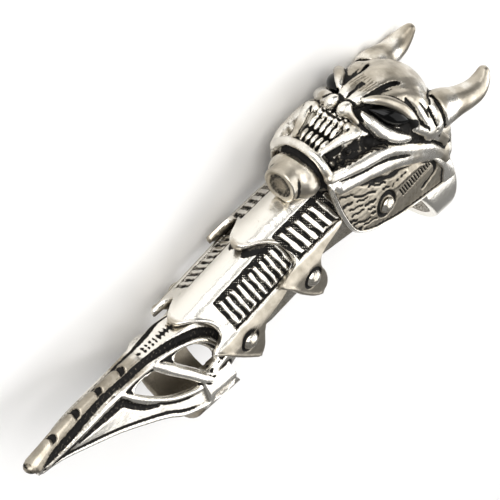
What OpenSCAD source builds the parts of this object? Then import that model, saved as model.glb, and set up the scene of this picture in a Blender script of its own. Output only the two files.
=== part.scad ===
// Jointed knuckle armour ring, cast in silver-tone metal.
// A horned skull on a finger band, two ribbed finger plates and a pierced claw on a fingertip band,
// joined by three pairs of domed rivets.
// Every piece is drawn as worn: X to the wrist, Y across the finger, Z up from the back of the finger.
// The whole ring is then laid on its far side, as it rests on a table.
// The origin is the centre of the finger band's bore.

/* [Finger band] */
// Bore of the band at the root of the finger
finger_bore_d = 18.6; // [16:0.1:19]
// Wall of the finger band
band_wall = 1.5; // [1.2:0.1:1.6]
// Length of the finger band along the finger, at its sides
band_len = 9.5; // [8:0.5:10]
// Length of the finger band on the palm side
band_palm_len = 3.4; // [3:0.2:5]

/* [Hinges] */
// Height of the head rivets above the bore's axis
head_pivot_z = 11.1; // [10.5:0.1:11.5]
// Distance of the head rivets in front of the bore's centre
head_pivot_x = 20.6; // [20:0.1:21]
// Distance between the head rivets and the first plate's rivets
link_1 = 19.3; // [19:0.1:19.6]
// Distance between the first and the second plate's rivets
link_2 = 15.7; // [15.4:0.1:16]
// Slope of the first link towards the fingertip, in degrees
slope_1 = 10.3; // [9:0.1:11]
// Slope of the second link towards the fingertip, in degrees
slope_2 = 12.5; // [12:0.1:13]
// Diameter of a rivet's shank
rivet_d = 1.8; // [1.6:0.1:2]
// Diameter of a rivet's dome
dome_d = 3.2; // [2.8:0.1:3.6]
// Height of a rivet's dome
dome_h = 1.0; // [0.8:0.1:1.2]
// Clearance round a shank
running_gap = 0.06; // [0.03:0.01:0.1]
// Clearance between an outer lug and the arm inside it
side_gap = 0.25; // [0.2:0.01:0.3]

/* [Widths] */
// Half width over the side plates of the head
head_half_w = 10.5; // [10.3:0.1:10.6]
// Half width over the first plate's lugs
plate_1_half_w = 9.4; // [9.2:0.1:9.5]
// Half width over the second plate's lugs
plate_2_half_w = 8.6; // [8.5:0.1:8.7]
// Thickness of a lug or an arm
lug_t = 1.1; // [1:0.05:1.2]

/* [Claw band] */
// Bore of the band at the fingertip
tip_bore_d = 14.4; // [13:0.1:14.8]
// Wall of the fingertip band
tip_band_wall = 1.2; // [1:0.1:1.3]
// Distance of the fingertip band's palm-side rear edge in front of the finger bore's centre
tip_band_rear = 56; // [55.5:0.5:57]
// Length of the fingertip band on the palm side
tip_band_len = 12.5; // [11:0.5:13]

/* [Ribs] */
// Number of slots beside the ribs on the first plate
plate_1_slots = 7; // [5:8]
// Number of slots beside the ribs on the second plate
plate_2_slots = 9; // [7:10]
// Width of a slot
slot_w = 0.75; // [0.5:0.05:0.9]
// Depth of a slot
slot_depth = 0.55; // [0.3:0.05:0.7]

/* [Head] */
// Length of the skull from the chin knob to the tips of its horns
skull_len = 47.46; // [47:0.02:48.5]
// Width of the skull over its horns
skull_w = 22.0; // [21.8:0.02:22.4]
// Height of the skull from the foot of its jaw ridge to its nose
skull_h = 28.44; // [28:0.02:29]
// Length of an eye
eye_len = 9.4; // [9:0.1:9.6]
// Greatest height of an eye
eye_h = 3.8; // [3.4:0.1:4]

/* [Hidden] */
$fn = 48;
silver = "silver";
dark_silver = "darkgray";
enamel = "black";

finger_r = finger_bore_d / 2;
band_r = finger_r + band_wall;
tip_r = tip_bore_d / 2;
tip_band_r = tip_r + tip_band_wall;
// A straight finger passes both bands.
tip_axis_z = -2.0;
far_out = 40;
fit_gap = 0.03;
arm_r = 2.2;
plate_wall = 1.2;

// Pivot points as [x, z], from the head to the fingertip
pivot_0 = [-head_pivot_x, head_pivot_z];
pivot_1 = pivot_0 - link_1 * [cos(slope_1), sin(slope_1)];
pivot_2 = pivot_1 - link_2 * [cos(slope_2), sin(slope_2)];

head_plate_t = 1.2;
head_inner_w = head_half_w - head_plate_t;
plate_1_arm_w = head_inner_w - side_gap;
plate_1_inner_w = plate_1_half_w - lug_t;
plate_2_arm_w = plate_1_inner_w - side_gap;
plate_2_inner_w = plate_2_half_w - lug_t;
claw_arm_w = plate_2_inner_w - side_gap;

// Curves

// One point between b and c on the smooth curve through a, b, c and d
function curve_point(a, b, c, d, t) =
    0.5 * (2 * b + (c - a) * t + (2 * a - 5 * b + 4 * c - d) * t * t + (3 * b - a - 3 * c + d) * t * t * t);

// A smooth open curve through the rows, with the given number of steps between rows
function smooth(rows, steps) =
    let (n = len(rows) - 1)
    concat(
        [for (i = [0:n - 1], k = [0:steps - 1])
            curve_point(rows[max(i - 1, 0)], rows[i], rows[i + 1], rows[min(i + 2, n)], k / steps)],
        [rows[n]]);

function place(row) = [row[0], row[1], row[2]];
function unit(v) = v / norm(v);

// Rows [x, y, z, r] with a rounded end added before the first and after the last row
function rounded_ends(rows) =
    let (n = len(rows) - 1,
         first = unit(place(rows[0]) - place(rows[1])),
         last = unit(place(rows[n]) - place(rows[n - 1])))
    concat(
        [for (a = [80, 45]) end_row(rows[0], first, a)],
        rows,
        [for (a = [45, 80]) end_row(rows[n], last, a)]);

function end_row(row, way, a) =
    let (p = place(row) + way * row[3] * sin(a)) [p[0], p[1], p[2], row[3] * cos(a)];

// A round, tapered strand along rows [x, y, z, r]
module strand(rows, sides = 10, steps = 3) {
    path = rounded_ends(smooth(rows, steps));
    n = len(path);
    points = [for (i = [0:n - 1])
        let (t = unit(place(path[min(i + 1, n - 1)]) - place(path[max(i - 1, 0)])),
             side = unit(cross(t, abs(t[2]) < 0.9 ? [0, 0, 1] : [1, 0, 0])),
             up = cross(side, t))
        for (k = [0:sides - 1])
            place(path[i]) + path[i][3] * (cos(360 * k / sides) * side + sin(360 * k / sides) * up)];
    walls = [for (i = [0:n - 2], k = [0:sides - 1])
        let (next = (k + 1) % sides)
        [i * sides + k, i * sides + next, (i + 1) * sides + next, (i + 1) * sides + k]];
    polyhedron(points, concat(
        [[for (k = [sides - 1:-1:0]) k]],
        walls,
        [[for (k = [0:sides - 1]) (n - 1) * sides + k]]));
}

// An egg-shaped mass
module egg(at, half) {
    translate(at) scale(half) sphere(r = 1, $fn = 26);
}

module both_sides() {
    children();
    mirror([0, 1, 0]) children();
}

// Lays a piece drawn as worn on its far side
module lay() {
    rotate([-90, 0, 0]) children();
}

// Extrudes an outline drawn in X and Z across the finger, from y0 to y1 on the near side
module across(y0, y1) {
    translate([0, -y0, 0]) rotate([90, 0, 0]) linear_extrude(y1 - y0) children();
}

// A round bar across the finger at a pivot, from y0 to y1 on the near side
module bar_at(pivot, d, y0, y1) {
    translate([pivot[0], -y0, pivot[1]]) rotate([90, 0, 0]) cylinder(d = d, h = y1 - y0);
}

module at_link(pivot, slope) {
    translate([pivot[0], 0, pivot[1]]) rotate([0, -slope, 0]) children();
}

// Knuckle casting

horn_rows = [
    // x, y, z, r
    [-7.5, 6.8, 19.5, 3.4],
    [-4.0, 7.8, 20.3, 3.1],
    [-0.9, 8.6, 20.2, 2.4],
    [2.2, 8.9, 19.9, 2.1],
    [4.9, 9.2, 20.0, 1.7],
    [6.9, 9.0, 20.3, 1.2],
    [8.4, 8.6, 20.8, 0.7],
];
brow_rows = [
    [-20.0, 1.1, 30.4, 1.3],
    [-16.0, 2.6, 30.5, 1.8],
    [-10.8, 4.0, 29.6, 2.2],
    [-5.8, 4.8, 25.4, 2.4],
];
upper_lid_rows = [
    [-20.0, 3.0, 29.2, 0.9],
    [-16.6, 5.0, 29.6, 1.1],
    [-13.3, 7.4, 26.8, 1.1],
    [-12.0, 8.8, 23.3, 0.9],
];
pouch_rows = [
    [-20.6, 3.9, 27.8, 1.0],
    [-19.4, 6.2, 26.0, 1.4],
    [-16.4, 8.2, 23.6, 1.3],
    [-14.0, 8.8, 21.8, 1.0],
];
temple_rows = [
    [-12.2, 8.2, 21.6, 1.3],
    [-8.4, 8.8, 19.2, 1.3],
    [-5.0, 9.0, 16.4, 1.2],
];
jaw_rows = [
    [-31.8, 5.9, 22.8, 1.1],
    [-28.6, 7.0, 23.0, 1.4],
    [-22.4, 7.9, 22.6, 1.4],
    [-14.6, 8.7, 19.6, 1.4],
    [-8.4, 9.2, 16.6, 1.4],
    [-3.6, 9.4, 11.4, 1.3],
    [-1.4, 9.4, 5.0, 1.2],
];
lip_rows = [
    [-31.2, 6.0, 23.2, 1.0],
    [-32.3, 4.4, 25.6, 0.9],
    [-32.5, 2.2, 27.0, 0.9],
    [-32.6, 0.0, 27.4, 0.9],
    [-32.5, -2.2, 27.0, 0.9],
    [-32.3, -4.4, 25.6, 0.9],
    [-31.2, -6.0, 23.2, 1.0],
];
fang_rows = [
    [-24.0, 4.0, 27.0, 1.1],
    [-28.0, 4.1, 27.6, 0.95],
    [-31.8, 3.8, 27.0, 0.6],
];

// Lowest corner of the skull's box, from the measured forms
skull_lo = [-38.38, -skull_w / 2, 3.8];

// Teeth in two rows, upper and lower
module teeth() {
    for (y = [-2.2, -0.75, 0.75, 2.2]) {
        strand([[-22.4, y, 27.8, 0.65], [-27.4, y * 0.95, 27.2, 0.5]], 8, 1);
        strand([[-32.0, y, 25.6, 0.55], [-28.6, y, 26.6, 0.45]], 8, 1);
    }
}

// The rounded chin knob under the lower lip
module chin_knob() {
    translate([-34.6, 0, 22.2]) rotate([0, 90, 0]) scale([1, 1.28, 1])
        rotate_extrude($fn = 28) intersection() {
            translate([0.9, 0]) scale([1, 1.35]) circle(r = 2.8, $fn = 24);
            translate([0, -far_out]) square([far_out, 2 * far_out]);
        }
}

// Every raised form of the face and the horns, as one cast mass with a pocket for each eye
module skull() {
    translate(skull_lo) resize([skull_len, skull_w, skull_h]) translate(-skull_lo) difference() {
        skull_forms();
        both_sides() eye_form(eye_gap);
    }
}

module skull_forms() {
    difference() {
        union() {
            egg([-12.8, 0, 20.0], [11.4, 9.2, 11.0]);
            egg([-21.5, 0, 22.0], [9.0, 7.6, 6.6]);
            egg([-27.0, 0, 21.2], [7.0, 6.8, 4.2]);
            egg([-31.0, 0, 23.4], [2.3, 5.8, 4.2]);
        }
        // The open mouth
        egg([-27.6, 0, 27.0], [3.9, 4.8, 3.2]);
    }
    teeth();
    chin_knob();
    strand(lip_rows);
    both_sides() {
        egg([-22.5, -1.7, 29.5], [2.1, 1.5, 2.1]);
        strand(horn_rows, 14, 3);
        strand(brow_rows);
        strand(upper_lid_rows);
        strand(pouch_rows);
        strand(temple_rows, 8);
        strand(jaw_rows);
        strand(fang_rows, 8, 2);
    }
}

side_plate_outline = smooth([
    // x, z
    [-31.6, 21.0],
    [-31.2, 16.5],
    [-29.4, 11.0],
    [-27.0, 7.6],
    [-22.6, 5.6],
    [-16.0, 5.0],
    [-9.0, 4.9],
    [-2.0, 3.8],
    [-0.5, 6.0],
    [-1.6, 11.0],
    [-5.6, 16.6],
    [-12.0, 19.6],
    [-22.0, 21.4],
    [-30.6, 21.8],
], 3);
panel_outline = smooth([
    [-29.6, 17.6],
    [-28.2, 12.0],
    [-25.6, 8.6],
    [-20.0, 7.4],
    [-8.0, 7.2],
    [-4.6, 9.6],
    [-6.4, 13.4],
    [-13.0, 16.6],
    [-22.0, 18.4],
    [-29.0, 18.9],
], 3);
panel_depth = 0.45;
feather_count = 6;

// One flat side of the head, with its sunk panel, its feather strokes and the rivet's seat
module side_plate() {
    difference() {
        across(head_inner_w, head_half_w) polygon(side_plate_outline);
        difference() {
            across(head_half_w - panel_depth, far_out) polygon(panel_outline);
            bar_at(pivot_0, 5.4, head_inner_w, far_out);
            for (i = [0:feather_count - 1])
                translate([-17.2 + 1.9 * i, -head_half_w + panel_depth, 10.4 + 0.35 * i])
                    rotate([0, -58, 0]) cube([4.6, panel_depth * 1.6, 0.8], center = true);
            for (z = [9.8, 12.2, 14.6])
                translate([-27.6, -head_half_w + panel_depth, z])
                    rotate([0, -14, 0]) cube([5.6, panel_depth * 1.6, 0.9], center = true);
        }
        bar_at(pivot_0, dome_d + 0.9, head_half_w - panel_depth, far_out);
    }
}

// The finger band, wide at the sides and narrow under the finger
module finger_band() {
    intersection() {
        translate([-band_len, 0, 0]) rotate([0, 90, 0]) cylinder(r = band_r, h = band_len);
        across(-far_out, far_out) polygon([
            [-band_palm_len, -far_out],
            [0, -far_out],
            [0, far_out],
            [-band_len, far_out],
            [-band_len, 3.0],
            [-band_palm_len - 1.6, -5.5],
        ]);
    }
}

module knuckle() {
    color(silver) lay() difference() {
        union() {
            skull();
            both_sides() side_plate();
            finger_band();
            // The neck between the band and the skull
            translate([-band_len, 0, 12]) rotate([0, 90, 0]) cylinder(r = 8.4, h = band_len - 0.8);
        }
        translate([-far_out, 0, 0]) rotate([0, 90, 0]) cylinder(r = finger_r, h = 2 * far_out);
        head_hollow();
        bar_at(pivot_0, rivet_d + 2 * fit_gap, -far_out, far_out);
    }
}

// The hollow under the face, in which the first plate and its arms turn
module head_hollow() {
    across(-head_inner_w, head_inner_w) polygon([
        [-far_out, -far_out],
        [-11.5, -far_out],
        [-11.5, 12.0],
        [-15.0, 14.2],
        [-20.6, 14.8],
        [-24.0, 15.6],
        [-32.1, 17.5],
        [-far_out, 17.5],
    ]);
    at_link(pivot_1, plate_1_slope) along(-far_out, 12.2)
        polygon(arch([for (row = plate_1_section) row + [row[0] > 0 ? 0.4 : 0, 0.4]]));
}

// The near eye's corners, inner and outer, on the side towards +Y before it is mirrored
eye_in = [-19.9, 2.9, 28.4];
eye_out = [-12.6, 9.0, 24.0];
eye_steps = 8;
eye_gap = 0.2;

// The almond form of an eye: a strand whose radius is an arc over the line between its corners
module eye_form(grow) {
    middle = (eye_in + eye_out) / 2;
    way = unit(eye_out - eye_in);
    strand([for (i = [0:eye_steps])
        let (t = 2 * i / eye_steps - 1, p = middle + way * t * (eye_len / 2 - 0.3))
        [p[0], p[1], p[2], eye_h / 2 * (1 - 0.9 * t * t) + grow]], 14, 1);
}

module eye_far() {
    color(enamel) lay() eye_form(0);
}

module eye_near() {
    color(enamel) lay() mirror([0, 1, 0]) eye_form(0);
}

// Rivets

// A rivet at a pivot on the near side: dome on the outer face, shank, and flattened inner end
module rivet_form(pivot, outer, inner) {
    dome_r = (dome_d * dome_d / 4 + dome_h * dome_h) / (2 * dome_h);
    bar_at(pivot, rivet_d, inner - 0.5, outer + 0.2);
    bar_at(pivot, rivet_d + 0.9, inner - 0.5, inner - 0.08);
    intersection() {
        translate([pivot[0], -outer - fit_gap - dome_h + dome_r, pivot[1]]) sphere(r = dome_r);
        bar_at(pivot, dome_d + 1, outer + fit_gap, outer + dome_h + 1);
    }
}

module rivet(pivot, outer, inner) {
    color(silver) lay() rivet_form(pivot, outer, inner);
}

module far_rivet(pivot, outer, inner) {
    color(silver) lay() mirror([0, 1, 0]) rivet_form(pivot, outer, inner);
}

head_seat_w = head_half_w - panel_depth;
module head_rivet_near() { rivet(pivot_0, head_seat_w, plate_1_arm_w - lug_t); }
module head_rivet_far() { far_rivet(pivot_0, head_seat_w, plate_1_arm_w - lug_t); }
module rivet_1_near() { rivet(pivot_1, plate_1_half_w, plate_2_arm_w - lug_t); }
module rivet_1_far() { far_rivet(pivot_1, plate_1_half_w, plate_2_arm_w - lug_t); }
module rivet_2_near() { rivet(pivot_2, plate_2_half_w, claw_arm_w - lug_t); }
module rivet_2_far() { far_rivet(pivot_2, plate_2_half_w, claw_arm_w - lug_t); }

// Finger plates

// The first plate's arch slopes a little less than its link.
plate_1_slope = slope_1 - 3;
plate_1_section = [
    // y, z from the plate's own rivet
    [0.0, 11.1], [1.4, 10.9], [2.6, 10.4], [3.2, 9.9], [7.4, 5.4],
    [8.6, 4.2], [9.4, 3.0], [9.4, -6.0],
];
plate_1_outline = concat(
    smooth([[-8.6, 11.4], [-4.6, 10.2], [-1.8, 8.2], [-1.2, 6.0], [-2.6, 4.6], [-6.2, 3.6]], 3),
    smooth([[-5.2, 2.0], [-3.4, -1.6], [-0.8, -4.6], [2.4, -5.2], [4.8, -3.2], [4.2, 0.2],
            [4.8, 3.4], [7.0, 5.6], [10.2, 6.6]], 3),
    [[11.6, 7.0], [11.6, 12.6]]);
plate_1_plan = [[12, 9.4], [-3.6, 9.4], [-7.0, 7.4], [-9.2, 3.0]];

plate_2_section = [
    [0.0, 9.4], [1.2, 9.2], [2.2, 8.7], [2.7, 8.1], [6.7, 3.6],
    [7.9, 3.2], [8.6, 2.4], [8.6, -6.4],
];
plate_2_outline = concat(
    smooth([[-8.6, 9.6], [-6.4, 8.6], [-3.8, 6.9], [-3.0, 5.2], [-4.2, 3.8], [-7.2, 2.9]], 3),
    smooth([[-6.4, 1.4], [-4.4, -2.0], [-1.6, -4.8], [2.2, -5.5], [5.0, -4.0], [4.9, -1.6],
            [6.2, -0.2], [8.4, 0.2], [10.4, 0.2]], 3),
    [[11.4, 0.4], [11.4, 10.6]]);
// Narrow at the rear, where it passes under the first plate
plate_2_plan = [[12, 7.2], [6.6, 7.2], [5.2, 8.6], [-3.4, 8.6], [-7.4, 6.4], [-9.2, 3.0]];

// Top and rear end of the room inside a plate's lugs, from its rivet
lug_room_top = 2.6;
lug_room_rear = 6.2;

// An arch section of both sides, from the rows of one side
function arch(rows) = let (n = len(rows) - 1) concat(
    [for (i = [n:-1:1]) [-rows[i][0], rows[i][1]]],
    rows);

// The same arch, thinner by its wall and open below
function inner_arch(rows, wall) =
    let (n = len(rows) - 1)
    arch(concat(
        [for (i = [0:n - 1]) [max(rows[i][0] - wall * min(i, 3) / 3, 0), rows[i][1] - wall]],
        [[rows[n][0] - wall, rows[n][1] - 2 * wall]]));

module along(x0, x1) {
    translate([x0, 0, 0]) rotate([90, 0, 90]) linear_extrude(x1 - x0) children();
}

// Slots across the sloping panel of an arch, leaving the ribs between them
module rib_slots(section, count, x0, x1) {
    top = section[3];
    foot = section[4];
    drop = foot - top;
    middle = (top + foot) / 2;
    pitch = (x1 - x0) / (count - 1);
    for (i = [0:count - 1])
        translate([x0 + pitch * i, -middle[0], middle[1]])
            rotate([atan2(-drop[1], drop[0]), 0, 0])
                rotate([0, 0, 14])
                    cube([slot_w, norm(drop) * 0.86, 2 * slot_depth], center = true);
}

module plate_shell(section, outline, plan, inner_w) {
    difference() {
        intersection() {
            along(-far_out, far_out) polygon(arch(section));
            across(-far_out, far_out) polygon(outline);
            translate([0, 0, -far_out]) linear_extrude(2 * far_out)
                polygon(concat(plan, [for (i = [len(plan) - 1:-1:0]) [plan[i][0], -plan[i][1]]]));
        }
        along(-far_out, far_out) polygon(inner_arch(section, plate_wall));
        translate([-far_out, -inner_w, -far_out])
            cube([far_out + lug_room_rear, 2 * inner_w, far_out + lug_room_top]);
    }
}

// The arm that reaches back inside the next lug, on the near side
module arm(start, end, w) {
    across(w - lug_t, w) union() {
        translate(end) circle(r = arm_r);
        polygon([start[0], start[1], end + [0.8, 2.05], end + [-1.2, -1.85]]);
    }
}

module plate_1() {
    color(dark_silver) lay() difference() {
        union() {
            at_link(pivot_1, plate_1_slope) {
                plate_shell(plate_1_section, plate_1_outline, plate_1_plan, plate_1_inner_w);
                // Flange that joins the arm to the arch
                both_sides() across(plate_1_arm_w - 3.8, plate_1_arm_w)
                    polygon([[7.4, 6.2], [11.6, 5.2], [11.6, 7.0], [7.4, 7.6]]);
            }
            at_link(pivot_1, slope_1)
                both_sides() arm([[8.6, 5.2], [9.0, 7.0]], [link_1, 0], plate_1_arm_w);
        }
        at_link(pivot_1, plate_1_slope) both_sides()
            rib_slots(plate_1_section, plate_1_slots, 0.6, 10.2);
        bar_at(pivot_0, rivet_d + 2 * running_gap, -far_out, far_out);
        bar_at(pivot_1, rivet_d + 2 * fit_gap, -far_out, far_out);
    }
}

module plate_2() {
    color(dark_silver) lay() difference() {
        at_link(pivot_2, slope_2) {
            plate_shell(plate_2_section, plate_2_outline, plate_2_plan, plate_2_inner_w);
            both_sides() {
                arm([[6.6, -0.4], [6.6, 1.9]], [link_2, 0], plate_2_arm_w);
                // Flange that joins the arm to the arch
                across(5.8, 7.1) polygon([[6.4, 0.2], [10.4, 0.2], [10.4, 3.0], [6.4, 3.0]]);
                across(6.2, plate_2_arm_w) polygon([[6.4, -0.4], [9.4, -0.4], [9.4, 1.9], [6.4, 1.9]]);
            }
        }
        at_link(pivot_2, slope_2) both_sides()
            rib_slots(plate_2_section, plate_2_slots, -0.6, 10.6);
        // Room for the first plate's lugs
        both_sides() bar_at(pivot_1, 2 * 6.2, plate_2_arm_w, far_out);
        bar_at(pivot_1, rivet_d + 2 * running_gap, -far_out, far_out);
        bar_at(pivot_2, rivet_d + 2 * fit_gap, -far_out, far_out);
    }
}

// Claw

claw_wall = 1.1;
hollow_rows = 6;
claw_rows = [
    // x, ridge z, ridge half width, foot half width, foot z
    [-56.5, 9.4, 1.2, 7.7, -1.0],
    [-61.0, 10.0, 1.2, 8.1, -2.0],
    [-66.0, 10.7, 1.6, 7.8, -2.2],
    [-73.0, 10.6, 1.5, 6.0, -0.2],
    [-80.0, 10.3, 1.3, 4.5, 2.0],
    [-87.0, 9.7, 1.1, 3.1, 3.2],
    [-93.5, 8.2, 0.9, 1.9, 3.0],
    [-98.6, 6.4, 0.7, 1.0, 2.9],
    [-100.0, 5.3, 0.4, 0.5, 3.7],
];

// One section of the claw: feet, shoulders and a flat ridge.
// An inner section lies within it by the wall, and its feet reach further down.
function claw_section(row, wall, reach) =
    let (x = row[0], rz = row[1] - wall, ry = row[2] - wall * 0.4,
         fy = ry + (row[3] - row[2]) * reach, fz = rz + (row[4] - row[1]) * reach,
         my = fy * 0.54 + ry * 0.46 + 0.3, mz = fz * 0.45 + rz * 0.55)
    [[x, -fy, fz], [x, -my, mz], [x, -ry, rz], [x, ry, rz], [x, my, mz], [x, fy, fz]];

module loft(sections) {
    n = len(sections);
    m = len(sections[0]);
    points = [for (s = sections, p = s) p];
    polyhedron(points, concat(
        [[for (k = [0:m - 1]) k]],
        [for (i = [0:n - 2], k = [0:m - 1])
            let (next = (k + 1) % m)
            each [[i * m + k, (i + 1) * m + k, (i + 1) * m + next], [i * m + k, (i + 1) * m + next, i * m + next]]],
        [[for (k = [m - 1:-1:0]) (n - 1) * m + k]]));
}

upper_opening = smooth([
    [-72.2, 8.0], [-69.0, 8.6], [-65.4, 7.8], [-62.4, 5.4], [-62.6, 3.6], [-66.8, 5.4], [-72.2, 8.0],
], 3);
lower_opening = smooth([
    [-76.2, 7.0], [-75.6, 4.4], [-72.6, 2.4], [-68.0, 1.0], [-63.0, 0.6], [-63.4, 2.0], [-69.4, 4.4], [-76.2, 7.0],
], 3);
ridge_notches = 5;

module tip_band() {
    front = -tip_band_rear - tip_band_len;
    intersection() {
        translate([front - 2, 0, tip_axis_z]) rotate([0, 90, 0])
            cylinder(r = tip_band_r, h = tip_band_len + 2);
        across(-far_out, far_out) polygon([
            [front, -far_out],
            [-tip_band_rear, -far_out],
            [-tip_band_rear, -6],
            [-tip_band_rear - 3.2, 2.4],
            [front - 1.5, 1],
        ]);
    }
}

module claw() {
    color(silver) lay() difference() {
        union() {
            difference() {
                loft([for (row = claw_rows) claw_section(row, 0, 1)]);
                loft(concat(
                    [claw_section(claw_rows[0] + [1, 0, 0, 0, 0], claw_wall, 1.4)],
                    [for (i = [1:hollow_rows]) claw_section(claw_rows[i], claw_wall, 1.4)]));
            }
            tip_band();
            both_sides() across(claw_arm_w - lug_t, claw_arm_w) union() {
                translate(pivot_2) circle(r = arm_r);
                polygon([pivot_2 + [0.8, 2.05], pivot_2 + [1.2, -1.85], [-57.6, -3.4], [-66, -2.2],
                         [-64.5, 1.4], [-60.5, 4.2]]);
            }
        }
        translate([-tip_band_rear - tip_band_len - 2.5, 0, tip_axis_z]) rotate([0, 90, 0])
            cylinder(r = tip_r, h = far_out);
        both_sides() {
            across(0, far_out) polygon(upper_opening);
            across(0, far_out) polygon(lower_opening);
            // Room for the second plate's lugs
            bar_at(pivot_2, 2 * 6.4, claw_arm_w, far_out);
            bar_at(pivot_2, rivet_d + 2 * running_gap, -far_out, far_out);
        }
        for (i = [0:ridge_notches - 1])
            translate([-75 - 4.8 * i, 0, 10.9 - 0.15 * i * i])
                rotate([0, 30, 0]) cube([0.8, 6, 1.1], center = true);
    }
}

knuckle();
eye_near();
eye_far();
head_rivet_near();
head_rivet_far();
plate_1();
rivet_1_near();
rivet_1_far();
plate_2();
rivet_2_near();
rivet_2_far();
claw();
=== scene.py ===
"""Looks of a jointed knuckle armour ring: antique silver over cast metal, with black in its recesses.

Every shape is drawn as worn, in millimetres: X to the wrist, Y across the finger, Z up from its back.
`to_row` lays it on its far side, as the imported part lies.
"""

import math

import bpy
import numpy as np
from mathutils import Matrix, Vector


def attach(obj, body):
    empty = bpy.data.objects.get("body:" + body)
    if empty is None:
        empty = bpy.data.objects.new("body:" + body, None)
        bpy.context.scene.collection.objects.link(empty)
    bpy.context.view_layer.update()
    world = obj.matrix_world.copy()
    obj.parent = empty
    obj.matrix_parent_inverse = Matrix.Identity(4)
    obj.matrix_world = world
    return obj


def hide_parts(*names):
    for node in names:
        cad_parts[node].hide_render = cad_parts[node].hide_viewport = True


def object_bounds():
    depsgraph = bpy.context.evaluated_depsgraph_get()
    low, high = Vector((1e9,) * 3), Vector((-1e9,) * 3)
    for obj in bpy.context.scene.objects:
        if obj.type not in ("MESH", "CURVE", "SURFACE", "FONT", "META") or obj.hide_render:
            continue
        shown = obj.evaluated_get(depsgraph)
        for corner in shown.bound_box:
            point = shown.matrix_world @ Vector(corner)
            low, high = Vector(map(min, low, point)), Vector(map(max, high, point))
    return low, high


bl_info = {
    "name": "Knuckle armour ring",
    "version": (1, 0, 0),
    "blender": (4, 5, 0),
    "location": "View3D > Sidebar > Ring",
    "description": "Builds the finished surfaces of a jointed knuckle armour ring",
    "category": "Object",
}

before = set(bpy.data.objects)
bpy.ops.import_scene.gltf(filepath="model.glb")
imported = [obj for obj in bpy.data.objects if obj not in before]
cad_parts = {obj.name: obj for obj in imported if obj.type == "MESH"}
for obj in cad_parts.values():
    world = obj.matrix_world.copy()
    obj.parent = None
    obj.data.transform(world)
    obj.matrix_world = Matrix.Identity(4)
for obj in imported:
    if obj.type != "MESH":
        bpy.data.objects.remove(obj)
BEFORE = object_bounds()

MM = 0.001
# Distance in mm that stands for far away in a field
FAR = 3.0

# Rivet positions as worn, x and z in mm, and the slopes of the two plates in degrees
PIVOT_0 = (-20.6, 11.1)
PIVOT_1 = (-39.589, 7.649)
PIVOT_2 = (-54.917, 4.251)
SLOPE_1 = 7.3
SLOPE_2 = 12.5
FINGER_R = 9.3


# Curves, smooth steps and noise

def to_row(p):
    """Worn millimetres to the frame's metres."""
    p = np.asarray(p, float)
    return np.stack([p[..., 0], p[..., 2], -p[..., 1]], -1) * MM


def smooth_rows(rows, steps):
    """A smooth curve through rows of any width: for each span, the cubic that passes its two rows
    with the slopes of their neighbours."""
    r = np.asarray(rows, float)
    ext = np.concatenate([r[:1], r, r[-1:]])
    t = np.linspace(0, 1, steps, endpoint=False)[None, :, None]
    a, b, c, d = (ext[k:len(ext) - 3 + k, None, :] for k in range(4))
    curve = 0.5 * (2 * b + (c - a) * t + (2 * a - 5 * b + 4 * c - d) * t ** 2
                   + (3 * b - a - 3 * c + d) * t ** 3)
    return np.concatenate([curve.reshape(-1, r.shape[1]), r[-1:]])


def ease(t):
    """0 below 0, 1 above 1, and a smooth step between."""
    t = np.clip(t, 0, 1)
    return t * t * (3 - 2 * t)


def waves(p, size, seed, count=7):
    """Soft uneven noise, about -1 to 1: a sum of sine waves in seeded directions, `size` mm long."""
    rng = np.random.default_rng(seed)
    total = 0
    for _ in range(count):
        way = rng.normal(size=3)
        way /= np.linalg.norm(way)
        total = total + np.sin(p @ way * 2 * np.pi / (size * rng.uniform(0.7, 1.5)) + rng.uniform(0, 6.28))
    return total / math.sqrt(count)


def to_polyline(px, py, line):
    """Distance of points to a polyline in a plane."""
    best = np.full(np.broadcast(px, py).shape, 1e9)
    for (x0, y0), (x1, y1) in zip(line[:-1], line[1:]):
        dx, dy = x1 - x0, y1 - y0
        t = np.clip(((px - x0) * dx + (py - y0) * dy) / (dx * dx + dy * dy + 1e-12), 0, 1)
        best = np.minimum(best, np.hypot(px - x0 - t * dx, py - y0 - t * dy))
    return best


# Fields: signed distances on a cubic grid, for the forms that flow into each other

def smooth_min(a, b, k):
    """The smaller of two distances, rounded off where they are within k of each other."""
    h = np.clip(0.5 + 0.5 * (b - a) / k, 0, 1)
    return b * (1 - h) + a * h - k * h * (1 - h)


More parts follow.
